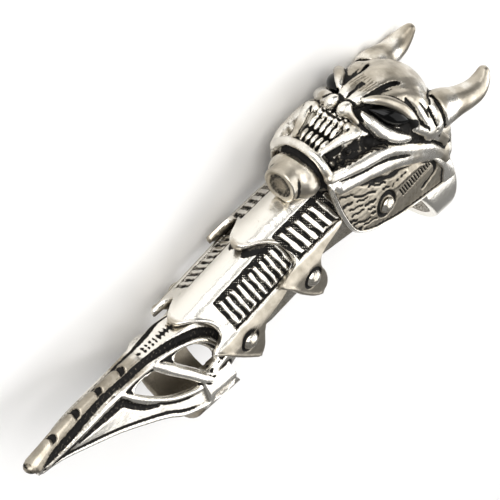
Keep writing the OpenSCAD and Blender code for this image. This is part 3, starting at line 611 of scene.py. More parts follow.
def side_plate(nx=240, nz=122):
    """One side plate: a grid over its outline, each column from the lower to the upper edge, pushed out by a
    rolled border and the cheek ridge and in by the panel, the leaf, its strokes and the rivet's seat."""
    x = np.linspace(-32.3, -0.6, nx)[:, None] + np.zeros((1, nz))
    top = smooth_rows(SIDE_TOP, 6)
    low = smooth_rows(SIDE_LOW, 6)
    z_top = np.interp(x, top[:, 0], top[:, 1])
    z_low = np.interp(x, low[:, 0], low[:, 1])
    z = z_low + (z_top - z_low) * np.linspace(0, 1, nz)[None, :]
    edge_top = to_polyline(x, z, top)
    edge_low = to_polyline(x, z, low)
    edge = np.minimum(edge_low, np.abs(x + 0.6))
    seat = np.hypot(x - PIVOT_0[0], z - PIVOT_0[1])
    # The panel lies 0.4 mm deep, in a border 0.45 mm wide below and 1.4 mm wide above, where the edge rolls
    panel = ease((edge_low - 0.45) / 0.35) * ease((edge_top - 1.4) / 0.5) * ease((-4.6 - x) / 0.6)
    h = -0.4 * panel
    round_top = np.clip(1 - edge_top / 1.8, 0, 1)
    h -= 1.4 * (1 - np.sqrt(1 - round_top ** 2 * 0.98))
    h -= 0.5 * ease(1 - edge / 0.6) ** 2
    # The leaf is a cut 0.45 mm deep of uneven width, its vein a rib, and its fringe 13 short cuts
    leaf = to_polyline(x, z, smooth_rows(LEAF, 4))
    leaf_width = 0.95 + 0.3 * np.sin(1.7 * x)
    dark = ease(1.3 - leaf / (0.5 * leaf_width))
    h -= 0.45 * ease(1 - leaf / (0.8 * leaf_width))
    vein = to_polyline(x, z, smooth_rows(VEIN, 4))
    h += 0.35 * ease(1 - vein / 0.9) * panel
    for k in range(13):
        x0, z0 = -16.9 + 0.66 * k, 11.7 + 0.07 * k
        stroke = to_polyline(x, z, [(x0, z0), (x0 + 0.8 - 0.03 * k, z0 - 1.7 + 0.05 * k)])
        h -= STROKE_DEPTH * ease(1 - stroke / 0.24) * panel
        dark = np.maximum(dark, ease(1.15 - stroke / 0.2) * panel)
    # Planks: swaying cuts of seeded width, which stop short of the rivet's seat
    rng = np.random.default_rng(11)
    clear = ease((seat - 2.7) / 0.5) * panel
    way = np.linspace(0, 1, 9)
    for k, (x0, z0, x1, z1) in enumerate(PLANKS):
        sway = 0.12 * np.sin(9 * way + 2 * k) + 0.06 * np.sin(23 * way + k)
        stroke = to_polyline(x, z, np.stack([x0 + (x1 - x0) * way, z0 + (z1 - z0) * way + sway], 1))
        wide = rng.uniform(0.18, 0.32)
        h -= STROKE_DEPTH * ease(1 - stroke / (wide + 0.12)) * clear
        dark = np.maximum(dark, ease(1.15 - stroke / wide) * clear)
    ring = np.abs(seat - 2.15)
    h -= 0.5 * ease(1 - ring / 0.65)
    dark = np.maximum(dark, ease(1.15 - ring / 0.6))
    h += 0.03 * waves(np.stack([x, 0 * x, z], -1).reshape(-1, 3), 1.1, 5).reshape(x.shape) * panel
    y = side_y(x, z) + h
    inner_y = np.minimum(side_y(x, z) - 1.1, 9.35) - 0.3 * ease(1 - edge_top / 1.0)
    outer = np.stack([x, y, z], -1)
    inner = np.stack([x, np.minimum(inner_y, y - 0.3), z], -1)
    verts, faces = closed_shell(outer, inner)
    n = x.size
    sunk = ease(hollowness(verts, faces, ((10, 0.06), (40, 0.2))) / 0.9)
    patina_and_shade = np.maximum(sunk, np.concatenate([dark.ravel(), np.full(n, 0.3)]))
    tone = np.concatenate([0.1 + 0.38 * panel.ravel(), np.full(n, 0.6)])
    return verts, out_facing(verts, faces), patina_and_shade, tone


def finger_band(count=220, across=26):
    """The plain band: a closed loop of points, slightly domed outside, turned round the finger.
    Its front edge draws back from the sides to the palm, by height."""
    a = np.linspace(0, 2 * np.pi, count, endpoint=False)[:, None]
    s = np.linspace(0, 1, across)[None, :]
    front = np.interp(10.8 * np.cos(a), [-10.8, -5.5, 3.0], [-2.8, -4.9, -9.4])
    rear = -0.05
    x_out = front + (rear - front) * s
    r_out = 9.35 + 1.43 * (1 - np.abs(2 * s - 1) ** 9) ** 0.5
    r_in = FINGER_R + 0.02
    outer = np.stack([x_out, r_out * np.sin(a), r_out * np.cos(a)], -1)
    x_in = x_out[:, ::-1]
    inner = np.stack([x_in, 0 * x_in + r_in * np.sin(a), 0 * x_in + r_in * np.cos(a)], -1)
    verts, faces = closed_loops(outer, inner)
    patina_and_shade = np.tile(np.concatenate([np.zeros(across), np.full(across, 0.25)]), count)
    return verts, faces, patina_and_shade, np.full(len(verts), 0.02)


# Finger plates

PLATE_1 = [
    # y, w over the rivet line, front u, rear u
    (0.0, 11.1, -8.7, 11.4), (1.0, 11.0, -8.4, 11.4), (1.9, 10.75, -7.5, 11.4), (3.0, 10.1, -5.1, 11.4),
    (4.2, 8.9, -3.2, 11.4), (5.1, 7.95, -2.1, 11.4), (6.6, 6.3, -1.65, 11.4), (7.4, 5.4, -1.9, 11.2),
    (7.85, 4.85, -3.0, 10.6), (8.1, 4.5, -5.6, 9.6), (8.3, 4.2, -6.8, 8.6), (8.6, 3.8, -6.9, 5.6),
    (8.95, 3.2, -6.4, 3.4), (9.25, 2.2, -5.5, 2.6), (9.4, 0.6, -4.5, 2.5), (9.4, -1.0, -3.5, 3.1),
    (9.4, -2.6, -2.3, 3.5), (9.4, -4.2, -1.0, 3.6), (9.4, -5.4, 0.2, 3.2), (9.4, -6.2, 1.2, 2.2),
]
PLATE_2 = [
    (0.0, 9.4, -8.7, 15.8), (1.0, 9.3, -8.4, 15.8), (1.8, 9.0, -7.4, 15.8), (2.7, 8.3, -5.9, 15.8),
    (3.9, 6.9, -4.3, 15.8), (5.1, 5.6, -3.6, 15.8), (6.0, 4.75, -3.7, 15.6), (6.5, 4.2, -4.6, 14.6),
    (6.8, 3.9, -6.2, 13.6), (7.1, 3.6, -7.0, 12.6), (7.4, 3.35, -7.0, 11.8), (7.9, 2.8, -6.2, 11.4),
    (8.25, 2.0, -5.4, 10.8), (8.5, 1.2, -4.8, 7.6), (8.6, 0.4, -4.3, 4.7), (8.6, -1.4, -3.1, 3.7),
    (8.6, -3.4, -1.7, 3.3), (8.6, -5.0, -0.5, 2.9), (8.6, -6.2, 0.4, 2.3), (8.6, -6.6, 0.9, 1.6),
]
# Relief of the rib panels in mm: how deep the valleys lie, and how far the ribs and the beads rise from them
VALLEY = 0.62
RIB_RISE = 0.56
BEAD_RISE = 0.36
PLATE_WALL = 1.0
# Outlines of the arms round their rivets, u and w
BAR_1 = [(1.6, 2.0), (-4.0, 1.9), (-10.4, 4.7), (-13.4, 5.0), (-16.4, 1.6), (-16.4, -1.4), (-6.0, -1.7),
         (0.0, -2.1), (1.6, -1.4)]
BAR_2 = [(1.6, 2.0), (-3.2, 2.0), (-7.0, 2.6), (-11.2, 1.8), (-11.2, -1.5), (-4.0, -1.8), (0.0, -2.1),
         (1.6, -1.4)]


def link_to_worn(u, y, w, pivot, slope):
    """Places along (u) and over (w) a sloping rivet line as worn points: turned about the rivet."""
    co, si = math.cos(math.radians(slope)), math.sin(math.radians(slope))
    return np.stack([pivot[0] + u * co - w * si, y + 0 * u, pivot[1] + u * si + w * co], -1)


def plate(table, pivot, slope, ribs, rib_u, slant, top_y, foot_y, shade, nu=215, nv=205):
    """A ribbed arch: its section runs from the middle of the ridge down one side to the foot of the lug,
    and each row runs between the front and the rear edge. Ribs, beads, rims and the rivet's seat are relief.
    A shadow is painted on the ridge where `shade`, in mm behind the line of the plate above, is over zero:
    black by that line, fading to a film of patina further under it."""
    rows = smooth_rows(table, 24)
    half = np.concatenate([[0], np.cumsum(np.hypot(*np.diff(rows[:, :2], axis=0).T))])
    top_v, foot_v = np.interp([top_y, foot_y], rows[:, 0], half)
    # Rows lie three times as close over the ribs as over the ridge and the lugs
    along = np.linspace(-half[-1], half[-1], 3000)
    above = np.abs(along) > np.interp(top_y - 0.4, rows[:, 0], half)
    below = np.abs(along) < np.interp(foot_y + 0.3, rows[:, 0], half) + 0.3
    count = np.cumsum(np.where(above & below, 1.0, 0.35))
    v = np.interp(np.linspace(count[0], count[-1], nv), count, along)[:, None]
    y, w, front, rear = (np.interp(np.abs(v), half, rows[:, k]) for k in range(4))
    u = front + (rear - front) * np.linspace(0, 1, nu)[None, :]
    side = np.where(v < 0, -1.0, 1.0)
    d_front, d_rear = u - front, rear - u
    av = np.abs(v) + 0 * u
    wobble = waves(np.stack([u, side * av, 0 * u], -1).reshape(-1, 3), 1.7, 31).reshape(u.shape)
    # Ribs: a cosine along the plate, kept to the panel between its upper border and its foot
    pitch = (rib_u[1] - rib_u[0]) / ribs
    pos = (u - rib_u[0] - slant * (av - top_v) + 0.07 * wobble) / pitch
    edge_gap = np.minimum(av - top_v, foot_v - av) + 0.05 * wobble
    inside = ease(edge_gap / 0.22) * ease((pos + 0.4) * 4)
    wave = 0.5 + 0.5 * np.cos(2 * np.pi * (pos - 0.5))
    border = np.minimum(av - top_v - 0.3 - 0.35 * ease((u + 1) / 4), foot_v - av) + 0.05 * wobble
    rib = ease((wave - 0.26) / 0.34) * ease((border - 0.4) / 0.3) * ease((pos - 0.1) * 6)
    # Beads: the product of two cosines about 0.55 mm long, missing here and there
    grid = np.cos(2 * np.pi * u / 0.56) * np.cos(2 * np.pi * av / 0.54)
    bead = ease((grid - 0.1) / 0.4) * ease(wobble * 1.5 + 0.7)
    h = inside * (-VALLEY + RIB_RISE * rib + BEAD_RISE * bead * (1 - rib))
    dark = inside * (1 - rib) * (1 - 0.9 * bead)
    # A rim along the front edge, rounded edges, and a groove round the rivet
    h = h + 0.2 * np.exp(-((d_front - 0.5) / 0.42) ** 2)
    h = h - 0.3 * ease(1 - d_front / 0.3) ** 2 - 0.2 * ease(1 - d_rear / 0.25)
    seat = np.hypot(u, w + 0 * u) + 20 * (av < foot_v)
    h = h - 0.3 * ease(1 - np.abs(seat - 1.9) / 0.45)
    dark = np.maximum(dark, ease(1.2 - np.abs(seat - 1.85) / 0.45))
    # Painted shadow of the plate above: black just behind its edge line, where its shadow falls, and a
    # thinner film of patina further under, where the silver stays unbuffed
    behind = shade(u, np.abs(y))
    painted_shadow_and_film = ease(behind / 0.4) * (1 - 0.55 * ease((behind - 0.8) / 1.4))
    dark = np.maximum(dark, painted_shadow_and_film * (av < top_v + 0.2))
    dv = np.gradient(rows[:, :2], half, axis=0)
    ny = np.interp(np.abs(v), half, -dv[:, 1])
    nw = np.interp(np.abs(v), half, dv[:, 0])
    out = link_to_worn(u, side * (y + h * ny), w + h * nw, pivot, slope)
    inn = link_to_worn(u, side * (y - PLATE_WALL * ny), w - PLATE_WALL * nw, pivot, slope)
    verts, faces = closed_shell(out, inn)
    faces = out_facing(verts, faces)
    verts = verts + normals_of(verts, faces) * (0.014 * waves(verts, 1.8, 8))[:, None]
    n = av.size
    hidden = 0.2 + 0.14 * ease(waves(verts[n:], 2.4, 35))
    patina_and_shade = np.concatenate([dark.ravel(), hidden])
    # Tone: darker on the lugs below the foot, part tarnish film and part painted shade on the plate's lower
    # side; and a film by the front edge at the middle of the ridge
    film = 0.42 * ease((av - foot_v) / 0.8) + 0.4 * ease(1 - d_front / 1.8) * ease(1 - av / 2.6)
    tone = np.concatenate([film.ravel(), np.full(n, 0.6)])
    return verts, faces, patina_and_shade, tone


def reach_of(outline, angles):
    """How far a ray from the origin goes at each angle before it leaves an outline that it sees all of."""
    p = np.array(outline, float)
    e = (np.roll(p, -1, 0) - p)[None]
    d = np.stack([np.cos(angles), np.sin(angles)], 1)[:, None, :]
    cross = d[..., 0] * e[..., 1] - d[..., 1] * e[..., 0]
    cross = np.where(np.abs(cross) < 1e-9, 1e-9, cross)
    far = (p[:, 0] * e[0, :, 1] - p[:, 1] * e[0, :, 0]) / cross
    along = (p[:, 0] * d[..., 1] - p[:, 1] * d[..., 0]) / cross
    return np.where((along >= -1e-6) & (along <= 1 + 1e-6) & (far > 0), far, 0).max(1)


def arm(pivot, slope, y0, y1, bar, lean, hole=1.0, turns=120):
    """An arm with a bore: for each angle round the rivet, a rectangle from the bore to the arm's outline,
    which is a disc with a bar drawn forwards from it. It leans towards the middle as it leaves the rivet."""
    a = np.linspace(0, 2 * np.pi, turns, endpoint=False)
    r_out = np.maximum(reach_of(bar, a), 2.15)
    radii = hole + (r_out[:, None] - hole) * np.array([0, 0.1, 0.3, 0.5, 0.7, 0.9, 1.0])
    u = radii * np.cos(a)[:, None]
    w = radii * np.sin(a)[:, None]
    shift = lean * np.clip(-u - 2.4, 0, None)
    front = link_to_worn(u, y1 - shift, w, pivot, slope)
    back = link_to_worn(u, y0 - shift, w, pivot, slope)[:, ::-1]
    verts, faces = closed_loops(front, back)
    return verts, faces, np.full(len(verts), 0.15), np.full(len(verts), 0.25)


# Claw: openings as x, z, and rails and channels as x, z, r on its side

CLAW = np.array([
    # x, ridge z, ridge half width, foot half width, foot z
    (-56.5, 9.4, 1.9, 7.8, -1.0), (-61.0, 10.0, 2.0, 8.3, -2.4), (-66.0, 10.7, 2.1, 8.0, -2.8),
    (-70.0, 10.5, 1.8, 7.0, -1.9), (-73.0, 10.4, 1.6, 6.1, -0.6), (-77.0, 10.35, 1.3, 5.2, 0.9),
    (-80.0, 10.3, 1.05, 4.5, 1.9), (-87.0, 9.6, 1.1, 3.1, 3.3), (-93.5, 8.1, 1.15, 1.9, 4.1),
    (-98.0, 6.5, 1.25, 1.5, 4.3), (-100.0, 5.4, 1.2, 1.3, 4.4)])[::-1]
UPPER_HOLE = [(-68.3, 7.5), (-67.2, 8.1), (-64.7, 7.8), (-63.4, 7.2), (-62.0, 6.0), (-61.0, 4.4),
              (-61.2, 2.6), (-62.4, 1.4), (-63.4, 1.7), (-65.2, 3.9), (-66.8, 5.4), (-68.3, 6.8),
              (-68.3, 7.5)]
LOWER_HOLE = [(-72.6, 7.9), (-75.9, 7.7), (-77.1, 7.2), (-77.3, 6.5), (-74.3, 3.9), (-71.0, 2.0),
              (-67.5, 1.0), (-64.8, 0.8), (-64.6, 1.2), (-66.4, 2.6), (-69.2, 5.3), (-71.4, 7.4),
              (-72.6, 7.9)]
NOTCHES = (-77.3, -82.7, -88.0, -93.4)
RAILS = [
    # Rail over the openings, which runs on to the tip
    [(-59.6, 4.6, 0.5), (-60.5, 5.9, 0.5), (-62.0, 7.2, 0.5), (-63.7, 8.0, 0.5), (-66.7, 8.9, 0.5),
     (-69.9, 9.1, 0.55), (-72.6, 9.0, 0.6), (-76.6, 8.8, 0.5), (-80.0, 8.2, 0.5), (-83.6, 7.8, 0.5),
     (-89.0, 6.8, 0.5), (-93.4, 5.6, 0.45), (-96.5, 4.9, 0.4)],
    # Strut between the openings
    [(-72.2, 8.8, 0.8), (-70.6, 7.5, 1.1), (-69.0, 6.0, 1.05), (-67.2, 4.4, 1.0), (-64.6, 1.6, 0.9),
     (-62.9, 0.2, 0.7)],
    # Rims of the openings
    [(-68.9, 7.2, 0.35), (-68.2, 6.2, 0.35), (-66.6, 5.0, 0.32), (-64.8, 3.2, 0.3)],
    [(-79.6, 8.0, 0.5), (-78.5, 6.9, 0.5), (-76.6, 5.2, 0.45), (-74.3, 3.5, 0.42), (-71.1, 1.6, 0.42),
     (-67.6, 0.6, 0.42), (-64.6, 0.3, 0.42), (-62.0, 0.9, 0.42), (-60.4, 2.6, 0.4)],
    # Lower edge
    [(-59.2, -2.8, 0.5), (-64.0, -3.2, 0.5), (-69.6, -2.4, 0.5), (-73.0, -0.8, 0.5), (-77.0, 0.7, 0.5),
     (-82.0, 2.2, 0.45), (-87.0, 3.2, 0.45), (-93.5, 4.2, 0.4), (-97.5, 4.4, 0.4)],
]
CHANNELS = [
    # Beside the rail over the openings
    [(-58.6, 4.9, 0.5), (-59.3, 6.7, 0.75), (-61.6, 8.4, 0.8), (-65.6, 9.7, 0.85), (-69.8, 10.2, 0.75),
     (-74.0, 10.2, 0.7), (-78.4, 9.7, 0.7), (-82.6, 9.4, 0.75), (-87.1, 8.6, 0.8), (-91.6, 7.4, 0.8),
     (-94.6, 6.5, 0.75), (-97.0, 5.7, 0.4)],
    # In front of the lower opening
    [(-74.2, 2.3, 0.35), (-76.6, 3.5, 0.55), (-78.8, 5.4, 0.65), (-80.3, 6.9, 0.8), (-82.4, 6.7, 0.8),
     (-86.1, 6.2, 0.6), (-89.8, 5.4, 0.3)],
    # Fine line over the lower edge
    [(-76.5, 1.5, 0.05), (-82.3, 2.9, 0.06), (-85.4, 3.7, 0.06), (-90.9, 4.8, 0.05)],
]
# Rows x, y, z, r on the ridge
RIDGE_ROPE = [(-74.0, 0, 9.9, 1.0), (-80.0, 0, 9.75, 1.05), (-87.0, 0, 9.0, 1.1), (-93.5, 0, 7.4, 1.1),
              (-98.0, 0, 5.9, 0.95)]
RIDGE_GROOVE = [(-57.5, 0, 10.1, 0.6), (-64.0, 0, 10.9, 0.55), (-70.0, 0, 10.85, 0.4), (-73.4, 0, 10.6, 0.25)]
# Height of the fingertip's middle over the finger's
TIP_Z = -2.0


def claw_section(x):
    """The claw's section at x, from its table: ridge z and y, foot y and z, and y and z of the shoulder,
    which lies between them at fixed shares."""
    ridge_z, ridge_y, foot_y, foot_z = (np.interp(x, CLAW[:, 0], CLAW[:, k]) for k in (1, 2, 3, 4))
    return ridge_z, ridge_y, foot_y, foot_z, foot_y * 0.54 + ridge_y * 0.46, foot_z * 0.45 + ridge_z * 0.55


def claw_side(x, z):
    """Half width of the claw's side at a height: straight from ridge to shoulder and on to the foot."""
    rz, ry, fy, fz, my, mz = claw_section(x)
    my = my + 0.3
    up = ry + (my - ry) * np.clip((rz - z) / (rz - mz), 0, 1)
    return np.where(z > mz, up, my + (fy - my) * (mz - z) / (mz - fz))


def on_side(rows, lift=0.0):
    """Rows x, z, r laid on the claw's side, moved outwards by `lift`."""
    return [(x, float(claw_side(x, z)) + lift, z, r) for x, z, r in rows]


def within(line):
    """Distance to an outline in the X Z plane, below zero inside it: the sign flips at each edge that a ray
    to the right crosses."""
    def dist(x, y, z):
        """The distance in the plane, the same at every y."""
        x2, z2 = (a[:, :1, :] for a in np.broadcast_arrays(x, z))
        away = to_polyline(x2, z2, line)
        wind = np.zeros(x2.shape, bool)
        for (x0, z0), (x1, z1) in zip(line[:-1], line[1:]):
            wind ^= ((z0 > z2) != (z1 > z2)) & (x2 < (x1 - x0) * (z2 - z0) / (z1 - z0 + 1e-12) + x0)
        return np.where(wind, -away, away) + 0 * y

    return (line[:, 0].min(), 0, line[:, 1].min()), (line[:, 0].max(), 10, line[:, 1].max()), dist


def claw_sheet(x, y, z):
    """Distance to the claw's wall, 1 mm thick along a three-sided section that changes with x."""
    rz, ry, fy, fz, my, mz = claw_section(x)
    my, mz = my - 0.15, mz - 0.1
    ry, rz, fy = ry - 0.4, rz - 0.5, fy - 0.45
    best = FAR
    for (ay, az), (by, bz) in (((0 * ry, rz), (ry, rz)), ((ry, rz), (my, mz)), ((my, mz), (fy, fz))):
        dy, dz = by - ay, bz - az
        t = np.clip(((y - ay) * dy + (z - az) * dz) / (dy * dy + dz * dz + 1e-9), 0, 1)
        best = np.minimum(best, np.hypot(y - ay - t * dy, z - az - t * dz))
    # The rear edge slants at the foot, clear of the second plate's lugs as the claw bends
    rear = x + np.interp(z, [-3.0, 0.0, 2.4, 5.0], [58.4, 59.0, 58.6, 56.5])
    return np.maximum(best - 0.5, np.maximum(rear, -98.4 - x))


def tip_band(x, y, z):
    """Distance to the fingertip band: a tube open above, whose ends slant and draw together at the palm."""
    ring = np.abs(np.hypot(y, z - TIP_Z) - 7.8 + 0.26 * np.maximum(z + 1.0, 0)) - 0.55
    rear = x + np.interp(z, [-6.0, -2.6, 0.0, 2.4], [56.1, 58.2, 58.8, 59.6])
    front = -x - np.interp(z, [-9.0, -6.0, -3.6, -2.6, 1.0], [66.6, 66.8, 65.6, 64.8, 65.0])
    return np.maximum(np.maximum(ring, z - 2.2), np.maximum(rear, front))


def tip_bore(x, y, z):
    """Distance to the room for the fingertip: a tube 7.2 mm in radius, open below, slanted in front."""
    tube = np.hypot(y, z - TIP_Z) - 7.2
    return np.maximum(np.maximum(tube, z + 0.6), -66.0 - x + np.minimum(z + 3.0, 0))


def claw_ear(x, y, z):
    """Distance to an arm: a flat disc round the rivet with a bar that runs forwards to the band."""
    disc = np.hypot(x - PIVOT_2[0], z - PIVOT_2[1]) - 2.1
    bar = to_polyline(x, z, [PIVOT_2, (-58.6, 1.4), (-63.4, -0.6)]) - 1.8
    return np.maximum(np.abs(y - 6.63) - 0.5, np.minimum(disc, bar))


def claw_field(step):
    """The claw: a thin arch of changing section, pierced by its openings, with rails, the notched ridge, the
    strut, the arms and the fingertip band blended on, and channels cut beside the rails."""
    f = Field((-101.2, 0, -11.2), (-52.0, 9.6, 11.8), step)
    f.add(((-98.6, 0, -4), (-55.5, 9, 11.4), claw_sheet), 0.1)
    f.add(egg((-98.2, 0, 5.4), (1.75, 1.4, 1.15), 18), 0.3)
    f.add(strand([(-92.0, 0, 6.4, 1.5), (-98.0, 0, 5.3, 1.1)]), 0.4)
    for line in (UPPER_HOLE, LOWER_HOLE):
        f.cut(within(smooth_rows(line, 5)), 0.25)
    f.add(((-71, 0, -11), (-55, 9, 3), tip_band), 1.1)
    f.add(((-66, 6, -4), (-52.5, 7.4, 7), claw_ear), 0.2)
    # Tiles of the ridge: a rope of blunt links between notches
    f.add(strand(RIDGE_ROPE), 0.25)
    for rows in CHANNELS:
        f.cut(strand(on_side(rows, 0.25)), 0.15)
    for rows in RAILS:
        f.add(strand(on_side(rows, -0.12)), 0.15)
    for x in NOTCHES:
        z = float(claw_section(x)[0]) + 0.2
        f.cut(strand([(x, -0.4, z + 0.1, 0.62), (x - 0.3, 0.6, z + 0.05, 0.6),
                      (x - 0.8, 1.1, z - 0.25, 0.4)]), 0.1)
    # The groove along the ridge and the short cuts across it
    f.cut(strand(RIDGE_GROOVE), 0.1)
    for k in range(13):
        x = -61.0 - 0.9 * k
        z = float(claw_section(x)[0]) + 0.05
        f.cut(strand([(x, 0.3, z, 0.26), (x - 0.15, 1.0 - 0.03 * k, z + 0.05, 0.16)]), 0.06)
    # Recess in the side of the band, the rivet's bore and the room for the fingertip
    f.cut(strand([(-63.3, 8.75, -2.5, 0.55), (-58.6, 8.75, -2.5, 0.6)]), 0.15)
    f.cut(strand([(PIVOT_2[0], 5.4, PIVOT_2[1], 1.0), (PIVOT_2[0], 8.2, PIVOT_2[1], 1.0)], 1), 0.05)
    f.cut(((-70, 0, -10), (-54, 7.3, 0), tip_bore), 0.1)
    return f


def claw_mesh(step):
    """The claw's surface with its patina: black in hollows and in the two upper channels, with cast beads
    along them, thinner on the rear wall and mottled inside, with a soft painted shade on the tiles beside the
    upper channel, and a film of tone inside and on the tiles."""
    verts, faces = claw_field(step).mesh()
    verts = relax(verts, edges_of(faces), 2, 0.4)
    normal = normals_of(verts, faces)
    lines = [on_side(rows, 0.1) for rows in CHANNELS[:2]]
    channels = painted(verts, lines, 1.0)
    patina_and_shade = np.maximum(ease((hollowness(verts, faces) - 0.1) / 0.45), channels)
    # Painted shade: from x -72 on, the tiles' lower part darkens softly towards the upper channel
    shade = painted(verts, [[(x, y, z, r + 0.45) for x, y, z, r in lines[0]]], 0.2)
    patina_and_shade = np.maximum(patina_and_shade, shade * ease((-72 - verts[:, 0]) / 4))
    beads = ease((waves(verts, 0.5, 17) - 0.3) / 0.3) * channels
    verts = verts + normal * (0.004 * waves(verts, 2.2, 21) + 0.08 * beads)[:, None]
    patina_and_shade = patina_and_shade * (1 - 0.55 * beads)
    x, y, z = verts[:, 0], np.abs(verts[:, 1]), verts[:, 2]
    ridge_z = claw_section(x)[0]
    wall = ease((x + 69) / 2) * ease((0.8 - z) / 0.8) * ease((y - 6.2) / 0.6)
    patina_and_shade = patina_and_shade * (1 - 0.8 * wall)
    inner = (y < claw_side(x, z) - 0.6) & (z < ridge_z - 0.7) & (x > -97)
    mottled = 0.13 + 0.1 * ease(waves(verts, 2.6, 23))
    patina_and_shade = np.where(inner, np.maximum(patina_and_shade, mottled), patina_and_shade)
    # The tip is stained
    patina_and_shade = np.maximum(patina_and_shade, (0.2 + 0.4 * ease(waves(verts, 0.9, 29))) * ease((-98.6 - x) / 0.5))
    tiles = ease((-73.0 - x) / 3) * ease((z - ridge_z + 1.6) / 0.8)
    tone = np.where(inner, 0.6, np.where(z < -2.6, 0.05, 0.08 + 0.42 * tiles))
    return verts, faces, patina_and_shade, tone


# Eyes: radius in the middle, and half the length

EYE_RADIUS = 1.65
EYE_HALF = 4.3


def eye_mesh(rows=40, turns=36):
    """An almond of enamel: circles along the line between its corners whose radius is an arc, closed at both
    ends. It takes neither patina nor tone."""
    way = (EYE_OUT - EYE_IN) / np.linalg.norm(EYE_OUT - EYE_IN)
    side, up = across(way)
    t = np.linspace(-1, 1, rows)[:, None, None]
    a = np.linspace(0, 2 * np.pi, turns, endpoint=False)[None, :, None]
    r = EYE_RADIUS * (1 - 0.999 * t ** 2)
    middle = (EYE_IN + EYE_OUT) / 2 + way * t * EYE_HALF
    verts = (middle + r * (np.cos(a) * side + np.sin(a) * up)).reshape(-1, 3)
    # Each end is closed by quads between opposite points of its last circle
    k = np.arange(turns // 2 - 1)
    cap = np.stack([k, k + 1, turns - 2 - k, turns - 1 - k], 1)
    faces = np.concatenate([grid_faces(rows, turns, False, True), cap, cap[:, ::-1] + (rows - 1) * turns])
    return verts, out_facing(verts, faces), np.zeros(len(verts)), np.zeros(len(verts))


# Materials

def linear(hex_colour):
    """A linear RGBA colour from an sRGB hex string."""
    c = np.array([int(hex_colour[k:k + 2], 16) / 255 for k in (1, 3, 5)])
    c = np.where(c <= 0.04045, c / 12.92, ((c + 0.055) / 1.055) ** 2.4)
    return (*c.tolist(), 1.0)


def fill(tree, node, inputs):
    """Fills a node's inputs by name or number: a socket is linked, and any other value is set."""
    for key, value in inputs.items():
        if isinstance(value, bpy.types.NodeSocket):
            tree.links.new(value, node.inputs[key])
        else:
            node.inputs[key].default_value = value


def add(tree, kind, inputs, stops=(), **properties):
    """Adds a node, sets its properties and a ramp's stops of place and colour, and fills its inputs."""
    made = tree.nodes.new(kind)
    for key, value in properties.items():
        setattr(made, key, value)
    if stops:
        elements = made.color_ramp.elements
        while len(elements) < len(stops):
            elements.new(0.5)
        for element, (place, colour) in zip(elements, stops):
            element.position = place
            element.color = colour
    fill(tree, made, inputs)
    return made


def new_material(name):
    """An empty node material with a Principled shader and Object coordinates."""
    old = bpy.data.materials.get(name)
    if old:
        bpy.data.materials.remove(old)
    material = bpy.data.materials.new(name)
    material.use_nodes = True
    tree = material.node_tree
    tree.nodes.clear()
    shader = add(tree, "ShaderNodeBsdfPrincipled", {})
    add(tree, "ShaderNodeOutputMaterial", {"Surface": shader.outputs[0]})
    place = add(tree, "ShaderNodeTexCoord", {}).outputs["Object"]
    return material, tree, shader, place


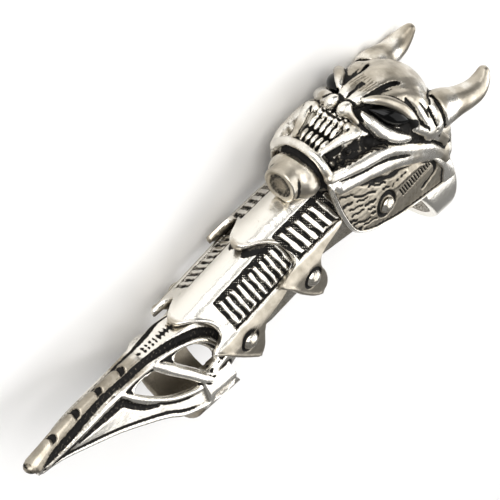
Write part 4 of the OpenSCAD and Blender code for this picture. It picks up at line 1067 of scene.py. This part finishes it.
def cast_silver(colours):
    """Lost-wax cast sterling silver, dipped in liver of sulphur and buffed: the high places are bright and
    faintly warm with soft scratches, the shoulders tan where a thin sulphide film stays, and the recesses
    black and matte. The patina attribute says how deep a point lies, and also holds the painted shadow under
    each plate's edge and the painted shade on the claw's tiles; tone says how little the buff reached, and on
    the plates' lugs also holds painted shade."""
    material, tree, shader, place = new_material("oxidised_cast_silver")
    patina_and_shade = add(tree, "ShaderNodeAttribute", {}, attribute_name="patina_and_shade").outputs["Fac"]
    tone = add(tree, "ShaderNodeAttribute", {}, attribute_name="tone").outputs["Fac"]
    # Scales are cells per metre: clouds of film about 2.5 mm across, and specks of about 0.35 mm
    cloud = add(tree, "ShaderNodeTexNoise", {
        "Vector": place, "Scale": 400.0, "Detail": 4.0, "Roughness": 0.6}).outputs["Fac"]
    speck = add(tree, "ShaderNodeTexNoise", {
        "Vector": place, "Scale": 2900.0, "Detail": 3.0, "Roughness": 0.7}).outputs["Fac"]
    film = add(tree, "ShaderNodeMath", {0: cloud, 1: 0.62, 2: tone}, operation="MULTIPLY_ADD").outputs[0]
    metal = add(tree, "ShaderNodeValToRGB", {"Fac": film}, stops=[
        (0.0, colours.bright), (0.42, colours.bright), (0.62, colours.warm),
        (0.95, colours.brown)]).outputs[0]
    # The patina's edge is ragged, because specks shift it, and a brown film lies along it
    ragged = add(tree, "ShaderNodeMath", {0: speck, 1: 0.5, 2: patina_and_shade}, operation="MULTIPLY_ADD").outputs[0]
    black = add(tree, "ShaderNodeMapRange", {"Value": ragged, "From Min": 0.42, "From Max": 0.8},
                interpolation_type="SMOOTHSTEP").outputs["Result"]
    shoulder = add(tree, "ShaderNodeMapRange", {"Value": ragged, "From Min": 0.28, "From Max": 0.58},
                   interpolation_type="SMOOTHSTEP").outputs["Result"]
    tanned = add(tree, "ShaderNodeMix", {"Factor": shoulder, 6: metal, 7: colours.brown},
                 data_type="RGBA").outputs[2]
    colour = add(tree, "ShaderNodeMix", {"Factor": black, 6: tanned, 7: colours.black},
                 data_type="RGBA").outputs[2]
    # Black sulphide is no metal, and matte
    metallic = add(tree, "ShaderNodeMapRange", {
        "Value": black, "To Min": 1.0, "To Max": 0.0}).outputs["Result"]
    buffed = add(tree, "ShaderNodeMath", {0: film, 1: 0.25, 2: 0.16}, operation="MULTIPLY_ADD").outputs[0]
    rough = add(tree, "ShaderNodeMix", {"Factor": black, 2: buffed, 3: 0.7}, data_type="FLOAT").outputs[0]
    # Casting skin: soft lumps of about 0.9 mm and pits of about 0.35 mm
    lumps = add(tree, "ShaderNodeTexNoise", {
        "Vector": place, "Scale": 1100.0, "Detail": 5.0, "Roughness": 0.55}).outputs["Fac"]
    skin = add(tree, "ShaderNodeBump", {"Height": lumps, "Strength": 0.16, "Distance": 0.3 * MM}).outputs[0]
    pits = add(tree, "ShaderNodeBump", {
        "Height": speck, "Normal": skin, "Strength": 0.12, "Distance": 0.12 * MM}).outputs[0]
    fill(tree, shader, {"Base Color": colour, "Metallic": metallic, "Roughness": rough,
                        "Specular IOR Level": 0.22, "Normal": pits})
    return material


def polished_rivet(colours):
    """Silver rivets peened and polished by hand: bright domes with fine scratches and small dents."""
    material, tree, shader, place = new_material("peened_rivet_silver")
    # Dents and clouds about 1.1 mm across
    cloud = add(tree, "ShaderNodeTexNoise", {
        "Vector": place, "Scale": 900.0, "Detail": 4.0, "Roughness": 0.6}).outputs["Fac"]
    metal = add(tree, "ShaderNodeValToRGB", {"Fac": cloud}, stops=[
        (0.3, colours.bright), (0.6, colours.warm), (0.8, colours.brown)]).outputs[0]
    rough = add(tree, "ShaderNodeMapRange", {"Value": cloud, "To Min": 0.1, "To Max": 0.32}).outputs["Result"]
    dents = add(tree, "ShaderNodeBump", {"Height": cloud, "Strength": 0.3, "Distance": 0.3 * MM}).outputs[0]
    fill(tree, shader, {"Base Color": metal, "Metallic": 1.0, "Roughness": rough, "Normal": dents})
    return material


def black_enamel(colours):
    """Cold black enamel, dripped in and left to level: a smooth deep black with a wet gloss and faint
    dust."""
    material, tree, shader, place = new_material("gloss_black_enamel")
    # Dust and waves about 0.6 mm across
    dust = add(tree, "ShaderNodeTexNoise", {
        "Vector": place, "Scale": 1600.0, "Detail": 4.0, "Roughness": 0.7}).outputs["Fac"]
    gloss = add(tree, "ShaderNodeValToRGB", {"Fac": dust}, stops=[
        (0.0, colours.enamel), (0.7, colours.enamel), (0.95, linear("#121110"))]).outputs[0]
    rough = add(tree, "ShaderNodeMapRange", {"Value": dust, "To Min": 0.04, "To Max": 0.16}).outputs["Result"]
    swell = add(tree, "ShaderNodeBump", {"Height": dust, "Strength": 0.08, "Distance": 0.2 * MM}).outputs[0]
    fill(tree, shader, {"Base Color": gloss, "Roughness": rough, "Specular IOR Level": 0.16, "Normal": swell})
    return material


def studio_paper(colours):
    """White seamless paper: pale, matte and even, with the faintest mottle."""
    material, tree, shader, place = new_material("studio_paper")
    mottle = add(tree, "ShaderNodeTexNoise", {"Vector": place, "Scale": 20.0, "Detail": 2.0}).outputs["Fac"]
    paper = add(tree, "ShaderNodeValToRGB", {"Fac": mottle}, stops=[
        (0.0, colours.floor), (1.0, linear("#FBFAF9"))]).outputs[0]
    fill(tree, shader, {"Base Color": paper, "Roughness": 0.9})
    return material


FINISHES = {"cast_silver": cast_silver, "polished_rivet": polished_rivet, "black_enamel": black_enamel,
            "studio_paper": studio_paper}
MADE = {}


def material_of(finish):
    """The material of a finish, made the first time that it is asked for."""
    if finish not in MADE:
        MADE[finish] = FINISHES[finish](bpy.context.scene.ring_colours)
    return MADE[finish]


def add_piece(name, body, node, slot, mesh):
    """Makes a piece with the finish of its slot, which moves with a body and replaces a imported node."""
    piece = make_object(name, *mesh)
    piece.data.materials.append(material_of(slot))
    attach(piece, body)
    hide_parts(node)


# Settings

def step_prop(name, form, default):
    """A property for the spacing of the samples that a form is worked out on."""
    return bpy.props.FloatProperty(
        name=name, description="Spacing of the samples that the " + form + " is worked out on",
        default=default * MM, min=0.1 * MM, max=1 * MM, precision=5, subtype="DISTANCE", unit="LENGTH")


def ribs_prop(name, default, most):
    """A property for the number of ribs on a plate."""
    return bpy.props.IntProperty(
        name=name, description="Number of raised bars on each side of the plate", default=default, min=3,
        max=most)


def colour_prop(name, description, hex_colour):
    """A property for a colour, which the file gives as sRGB hex and Blender keeps linear."""
    return bpy.props.FloatVectorProperty(
        name=name, description=description, default=linear(hex_colour), size=4, min=0.0, max=1.0,
        subtype="COLOR")


class RingSizes(bpy.types.PropertyGroup):
    """Fineness of the worked surfaces and number of ribs"""
    skull_step: step_prop("Skull step", "face", 0.234)
    claw_step: step_prop("Claw step", "claw", 0.2)
    plate_1_ribs: ribs_prop("First plate's ribs", 8, 14)
    plate_2_ribs: ribs_prop("Second plate's ribs", 11, 16)


class RingColours(bpy.types.PropertyGroup):
    """Colours of the finishes and strength of the light"""
    bright: colour_prop("Bright silver", "Buffed high places", "#F1EDE4")
    warm: colour_prop("Warm silver", "Thin tarnish film", "#C1B9AA")
    brown: colour_prop("Brown film", "Thicker tarnish on shoulders", "#857D6F")
    black: colour_prop("Black patina", "Recesses", "#0C0A08")
    enamel: colour_prop("Enamel", "Eyes", "#050505")
    floor: colour_prop("Floor", "Paper under the ring", "#F6F5F3")
    key_power: bpy.props.FloatProperty(
        name="Key light", description="Power of the large softbox", default=3.7, min=0.0, unit="POWER")
    fill_power: bpy.props.FloatProperty(
        name="Fill light", description="Power that the smaller softboxes share", default=2.2, min=0.0,
        unit="POWER")


# Operators

class BuildSkull(bpy.types.Operator):
    """Works out the horned face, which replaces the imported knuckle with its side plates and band"""
    bl_idname = "ring.build_skull"
    bl_label = "Skull"

    def execute(self, context):
        """Builds the face."""
        mesh = skull_mesh(context.scene.ring_sizes.skull_step / MM)
        add_piece("skull_cast", "knuckle", "knuckle", "cast_silver", mesh)
        return {"FINISHED"}


class BuildHeadSides(bpy.types.Operator):
    """Works out the two engraved side plates of the head"""
    bl_idname = "ring.build_head_sides"
    bl_label = "Side plates"

    def execute(self, context):
        """Builds the far plate, and the near one as its mirror image."""
        mesh = side_plate()
        add_piece("side_plate_far", "knuckle", "knuckle", "cast_silver", mesh)
        add_piece("side_plate_near", "knuckle", "knuckle", "cast_silver", mirrored(*mesh))
        return {"FINISHED"}


class BuildBand(bpy.types.Operator):
    """Works out the plain band that goes round the finger"""
    bl_idname = "ring.build_band"
    bl_label = "Finger band"

    def execute(self, context):
        """Builds the band."""
        add_piece("finger_band", "knuckle", "knuckle", "cast_silver", finger_band())
        return {"FINISHED"}


class BuildEyes(bpy.types.Operator):
    """Works out the two enamel eyes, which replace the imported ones"""
    bl_idname = "ring.build_eyes"
    bl_label = "Eyes"

    def execute(self, context):
        """Builds the far eye, and the near one as its mirror image."""
        mesh = eye_mesh()
        add_piece("eye_far_enamel", "knuckle", "eye_far", "black_enamel", mesh)
        add_piece("eye_near_enamel", "knuckle", "eye_near", "black_enamel", mirrored(*mesh))
        return {"FINISHED"}


class BuildPlates(bpy.types.Operator):
    """Works out the two ribbed finger plates with their arms"""
    bl_idname = "ring.build_plates"
    bl_label = "Finger plates"

    def execute(self, context):
        """Builds each plate with an arm on either side, which reaches back to the rivet behind."""
        sizes = context.scene.ring_sizes
        shell = plate(PLATE_1, PIVOT_1, SLOPE_1, sizes.plate_1_ribs, rib_u=(-2.3, 12.5), slant=0.27,
                      top_y=3.2, foot_y=7.75, shade=lambda u, y: u - 9.6 - 0.5 * y)
        side = arm(PIVOT_0, slope=10.3, y0=7.9, y1=8.68, bar=BAR_1, lean=0.17)
        mesh = joined(shell, side, mirrored(*side))
        add_piece("plate_1_cast", "first_plate", "plate_1", "cast_silver", mesh)
        shell = plate(PLATE_2, PIVOT_2, SLOPE_2, sizes.plate_2_ribs, rib_u=(-0.75, 14.9), slant=0.03,
                      top_y=2.7, foot_y=7.2, shade=lambda u, y: u - 7.0 - 2.3 * np.hypot(y - 1.4, 0.35))
        side = arm(PIVOT_1, slope=SLOPE_2, y0=6.98, y1=8.02, bar=BAR_2, lean=0.0)
        mesh = joined(shell, side, mirrored(*side))
        add_piece("plate_2_cast", "second_plate", "plate_2", "cast_silver", mesh)
        return {"FINISHED"}


class BuildClaw(bpy.types.Operator):
    """Works out the pierced claw with its fingertip band"""
    bl_idname = "ring.build_claw"
    bl_label = "Claw"

    def execute(self, context):
        """Builds the claw."""
        mesh = claw_mesh(context.scene.ring_sizes.claw_step / MM)
        add_piece("claw_cast", "claw", "claw", "cast_silver", mesh)
        return {"FINISHED"}


class FinishRivets(bpy.types.Operator):
    """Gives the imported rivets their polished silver"""
    bl_idname = "ring.finish_rivets"
    bl_label = "Rivets"

    def execute(self, context):
        """Puts the finish into every slot of each rivet."""
        rivets = [node for name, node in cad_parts.items() if "rivet" in name]
        if not rivets:
            raise RuntimeError("the frame has no rivets")
        for node in rivets:
            if not node.material_slots:
                node.data.materials.append(material_of("polished_rivet"))
            for slot in node.material_slots:
                slot.material = material_of("polished_rivet")
        return {"FINISHED"}


def look_axes(azimuth, elevation):
    """The camera's right, up and back directions in the frame, from its angles as worn."""
    a, e = math.radians(azimuth), math.radians(elevation)
    back = np.array([math.cos(e) * math.sin(a), -math.cos(e) * math.cos(a), math.sin(e)])
    right = np.array([math.cos(a), math.sin(a), 0.0])
    return [to_row(v) / MM for v in (right, np.cross(back, right), back)]


def place_object(thing, at, axes):
    """Puts an object at a point with its X, Y and Z along three directions."""
    matrix = np.eye(4)
    matrix[:3, :3] = np.stack(axes, 1)
    matrix[:3, 3] = at
    thing.matrix_world = Matrix(matrix.tolist())


# The photograph's view: turn and height of the camera in degrees as worn, where it aims as worn, how far
# away it stands in metres, and its lens in mm
VIEW_ANGLES = (-48.8993, 48.0)
VIEW_AIM = (-18.652, 23.239, -26.541)
VIEW_DISTANCE = 0.45
VIEW_LENS = 169.2
# The point as worn that the lights face, half the paper's width in metres, and the room's own light
RING_MIDDLE = (-46.0, 0.0, 8.0)
PAPER_HALF = 3.0
ROOM_LIGHT = 0.24


class BuildStage(bpy.types.Operator):
    """Puts the ring on pale paper under softboxes, with the camera at the photograph's angle"""
    bl_idname = "ring.build_stage"
    bl_label = "Stage"

    def execute(self, context):
        """Lays the paper under the ring's lowest point, and adds the lights, the world and the camera."""
        settings = context.scene.ring_colours
        corners = [(x * PAPER_HALF, y * PAPER_HALF, BEFORE[0][2])
                   for x, y in ((-1, -1), (1, -1), (1, 1), (-1, 1))]
        mesh = bpy.data.meshes.new("paper")
        mesh.from_pydata(corners, [], [(0, 1, 2, 3)])
        mesh.update()
        paper = bpy.data.objects.new("paper", mesh)
        paper.data.materials.append(material_of("studio_paper"))
        context.scene.collection.objects.link(paper)
        centre = to_row(RING_MIDDLE)
        for name, way, away, size, power in (
                # Direction from the ring, distance and width in metres, and power
                ("key_box", (0.4, 0.08, 0.91), 0.7, 0.85, settings.key_power),
                ("front_box", (-0.5, 0.76, 0.5), 1.2, 1.0, 6.0 * settings.fill_power),
                ("rear_box", (0.87, -0.1, 0.48), 0.75, 0.4, 0.5 * settings.fill_power),
                ("back_box", (0.1, 0.95, 0.4), 0.7, 0.35, 0.4 * settings.fill_power)):
            way = np.array(way) / np.linalg.norm(way)
            light = bpy.data.lights.new(name, "AREA")
            light.shape = "SQUARE"
            light.size = size
            light.energy = power
            lamp = bpy.data.objects.new(name, light)
            side = np.cross([0, 0, 1.0], way)
            side /= np.linalg.norm(side)
            place_object(lamp, centre + way * away, (side, np.cross(way, side), way))
            context.scene.collection.objects.link(lamp)
        world = context.scene.world or bpy.data.worlds.new("studio")
        context.scene.world = world
        world.use_nodes = True
        fill(world.node_tree, world.node_tree.nodes["Background"], {
            "Color": (1.0, 1.0, 1.0, 1.0), "Strength": ROOM_LIGHT})
        lens = bpy.data.cameras.new("photo_camera")
        lens.sensor_width = 36.0
        lens.lens = VIEW_LENS
        lens.clip_start = 0.02
        lens.clip_end = 10.0
        camera = bpy.data.objects.new("photo_camera", lens)
        right, up, back = look_axes(*VIEW_ANGLES)
        place_object(camera, to_row(VIEW_AIM) + back * VIEW_DISTANCE, (right, up, back))
        context.scene.collection.objects.link(camera)
        context.scene.camera = camera
        context.scene.view_settings.view_transform = "Standard"
        return {"FINISHED"}


class RingPanel(bpy.types.Panel):
    """Lists the sizes, the colours and the steps that build the ring"""
    bl_idname = "VIEW3D_PT_knuckle_ring"
    bl_label = "Knuckle armour ring"
    bl_space_type = "VIEW_3D"
    bl_region_type = "UI"
    bl_category = "Ring"

    def draw(self, context):
        """Shows each setting, then a button for each step."""
        for group in (context.scene.ring_sizes, context.scene.ring_colours):
            for key in group.__annotations__:
                self.layout.prop(group, key)
        for step in STEPS:
            self.layout.operator(step.bl_idname)


STEPS = (BuildSkull, BuildHeadSides, BuildBand, BuildEyes, BuildPlates, BuildClaw, FinishRivets, BuildStage)
CLASSES = (RingSizes, RingColours, *STEPS, RingPanel)


def register():
    """Registers the classes and hangs the settings on the scene."""
    for cls in CLASSES:
        bpy.utils.register_class(cls)
    bpy.types.Scene.ring_sizes = bpy.props.PointerProperty(type=RingSizes)
    bpy.types.Scene.ring_colours = bpy.props.PointerProperty(type=RingColours)


def unregister():
    """Takes the settings and the classes away again."""
    del bpy.types.Scene.ring_colours
    del bpy.types.Scene.ring_sizes
    for cls in reversed(CLASSES):
        bpy.utils.unregister_class(cls)


def main():
    register()
    bpy.ops.ring.build_skull()
    bpy.ops.ring.build_head_sides()
    bpy.ops.ring.build_band()
    bpy.ops.ring.build_eyes()
    bpy.ops.ring.build_plates()
    bpy.ops.ring.build_claw()
    bpy.ops.ring.finish_rivets()
    bpy.ops.ring.build_stage()


if __name__ == "__main__":
    main()
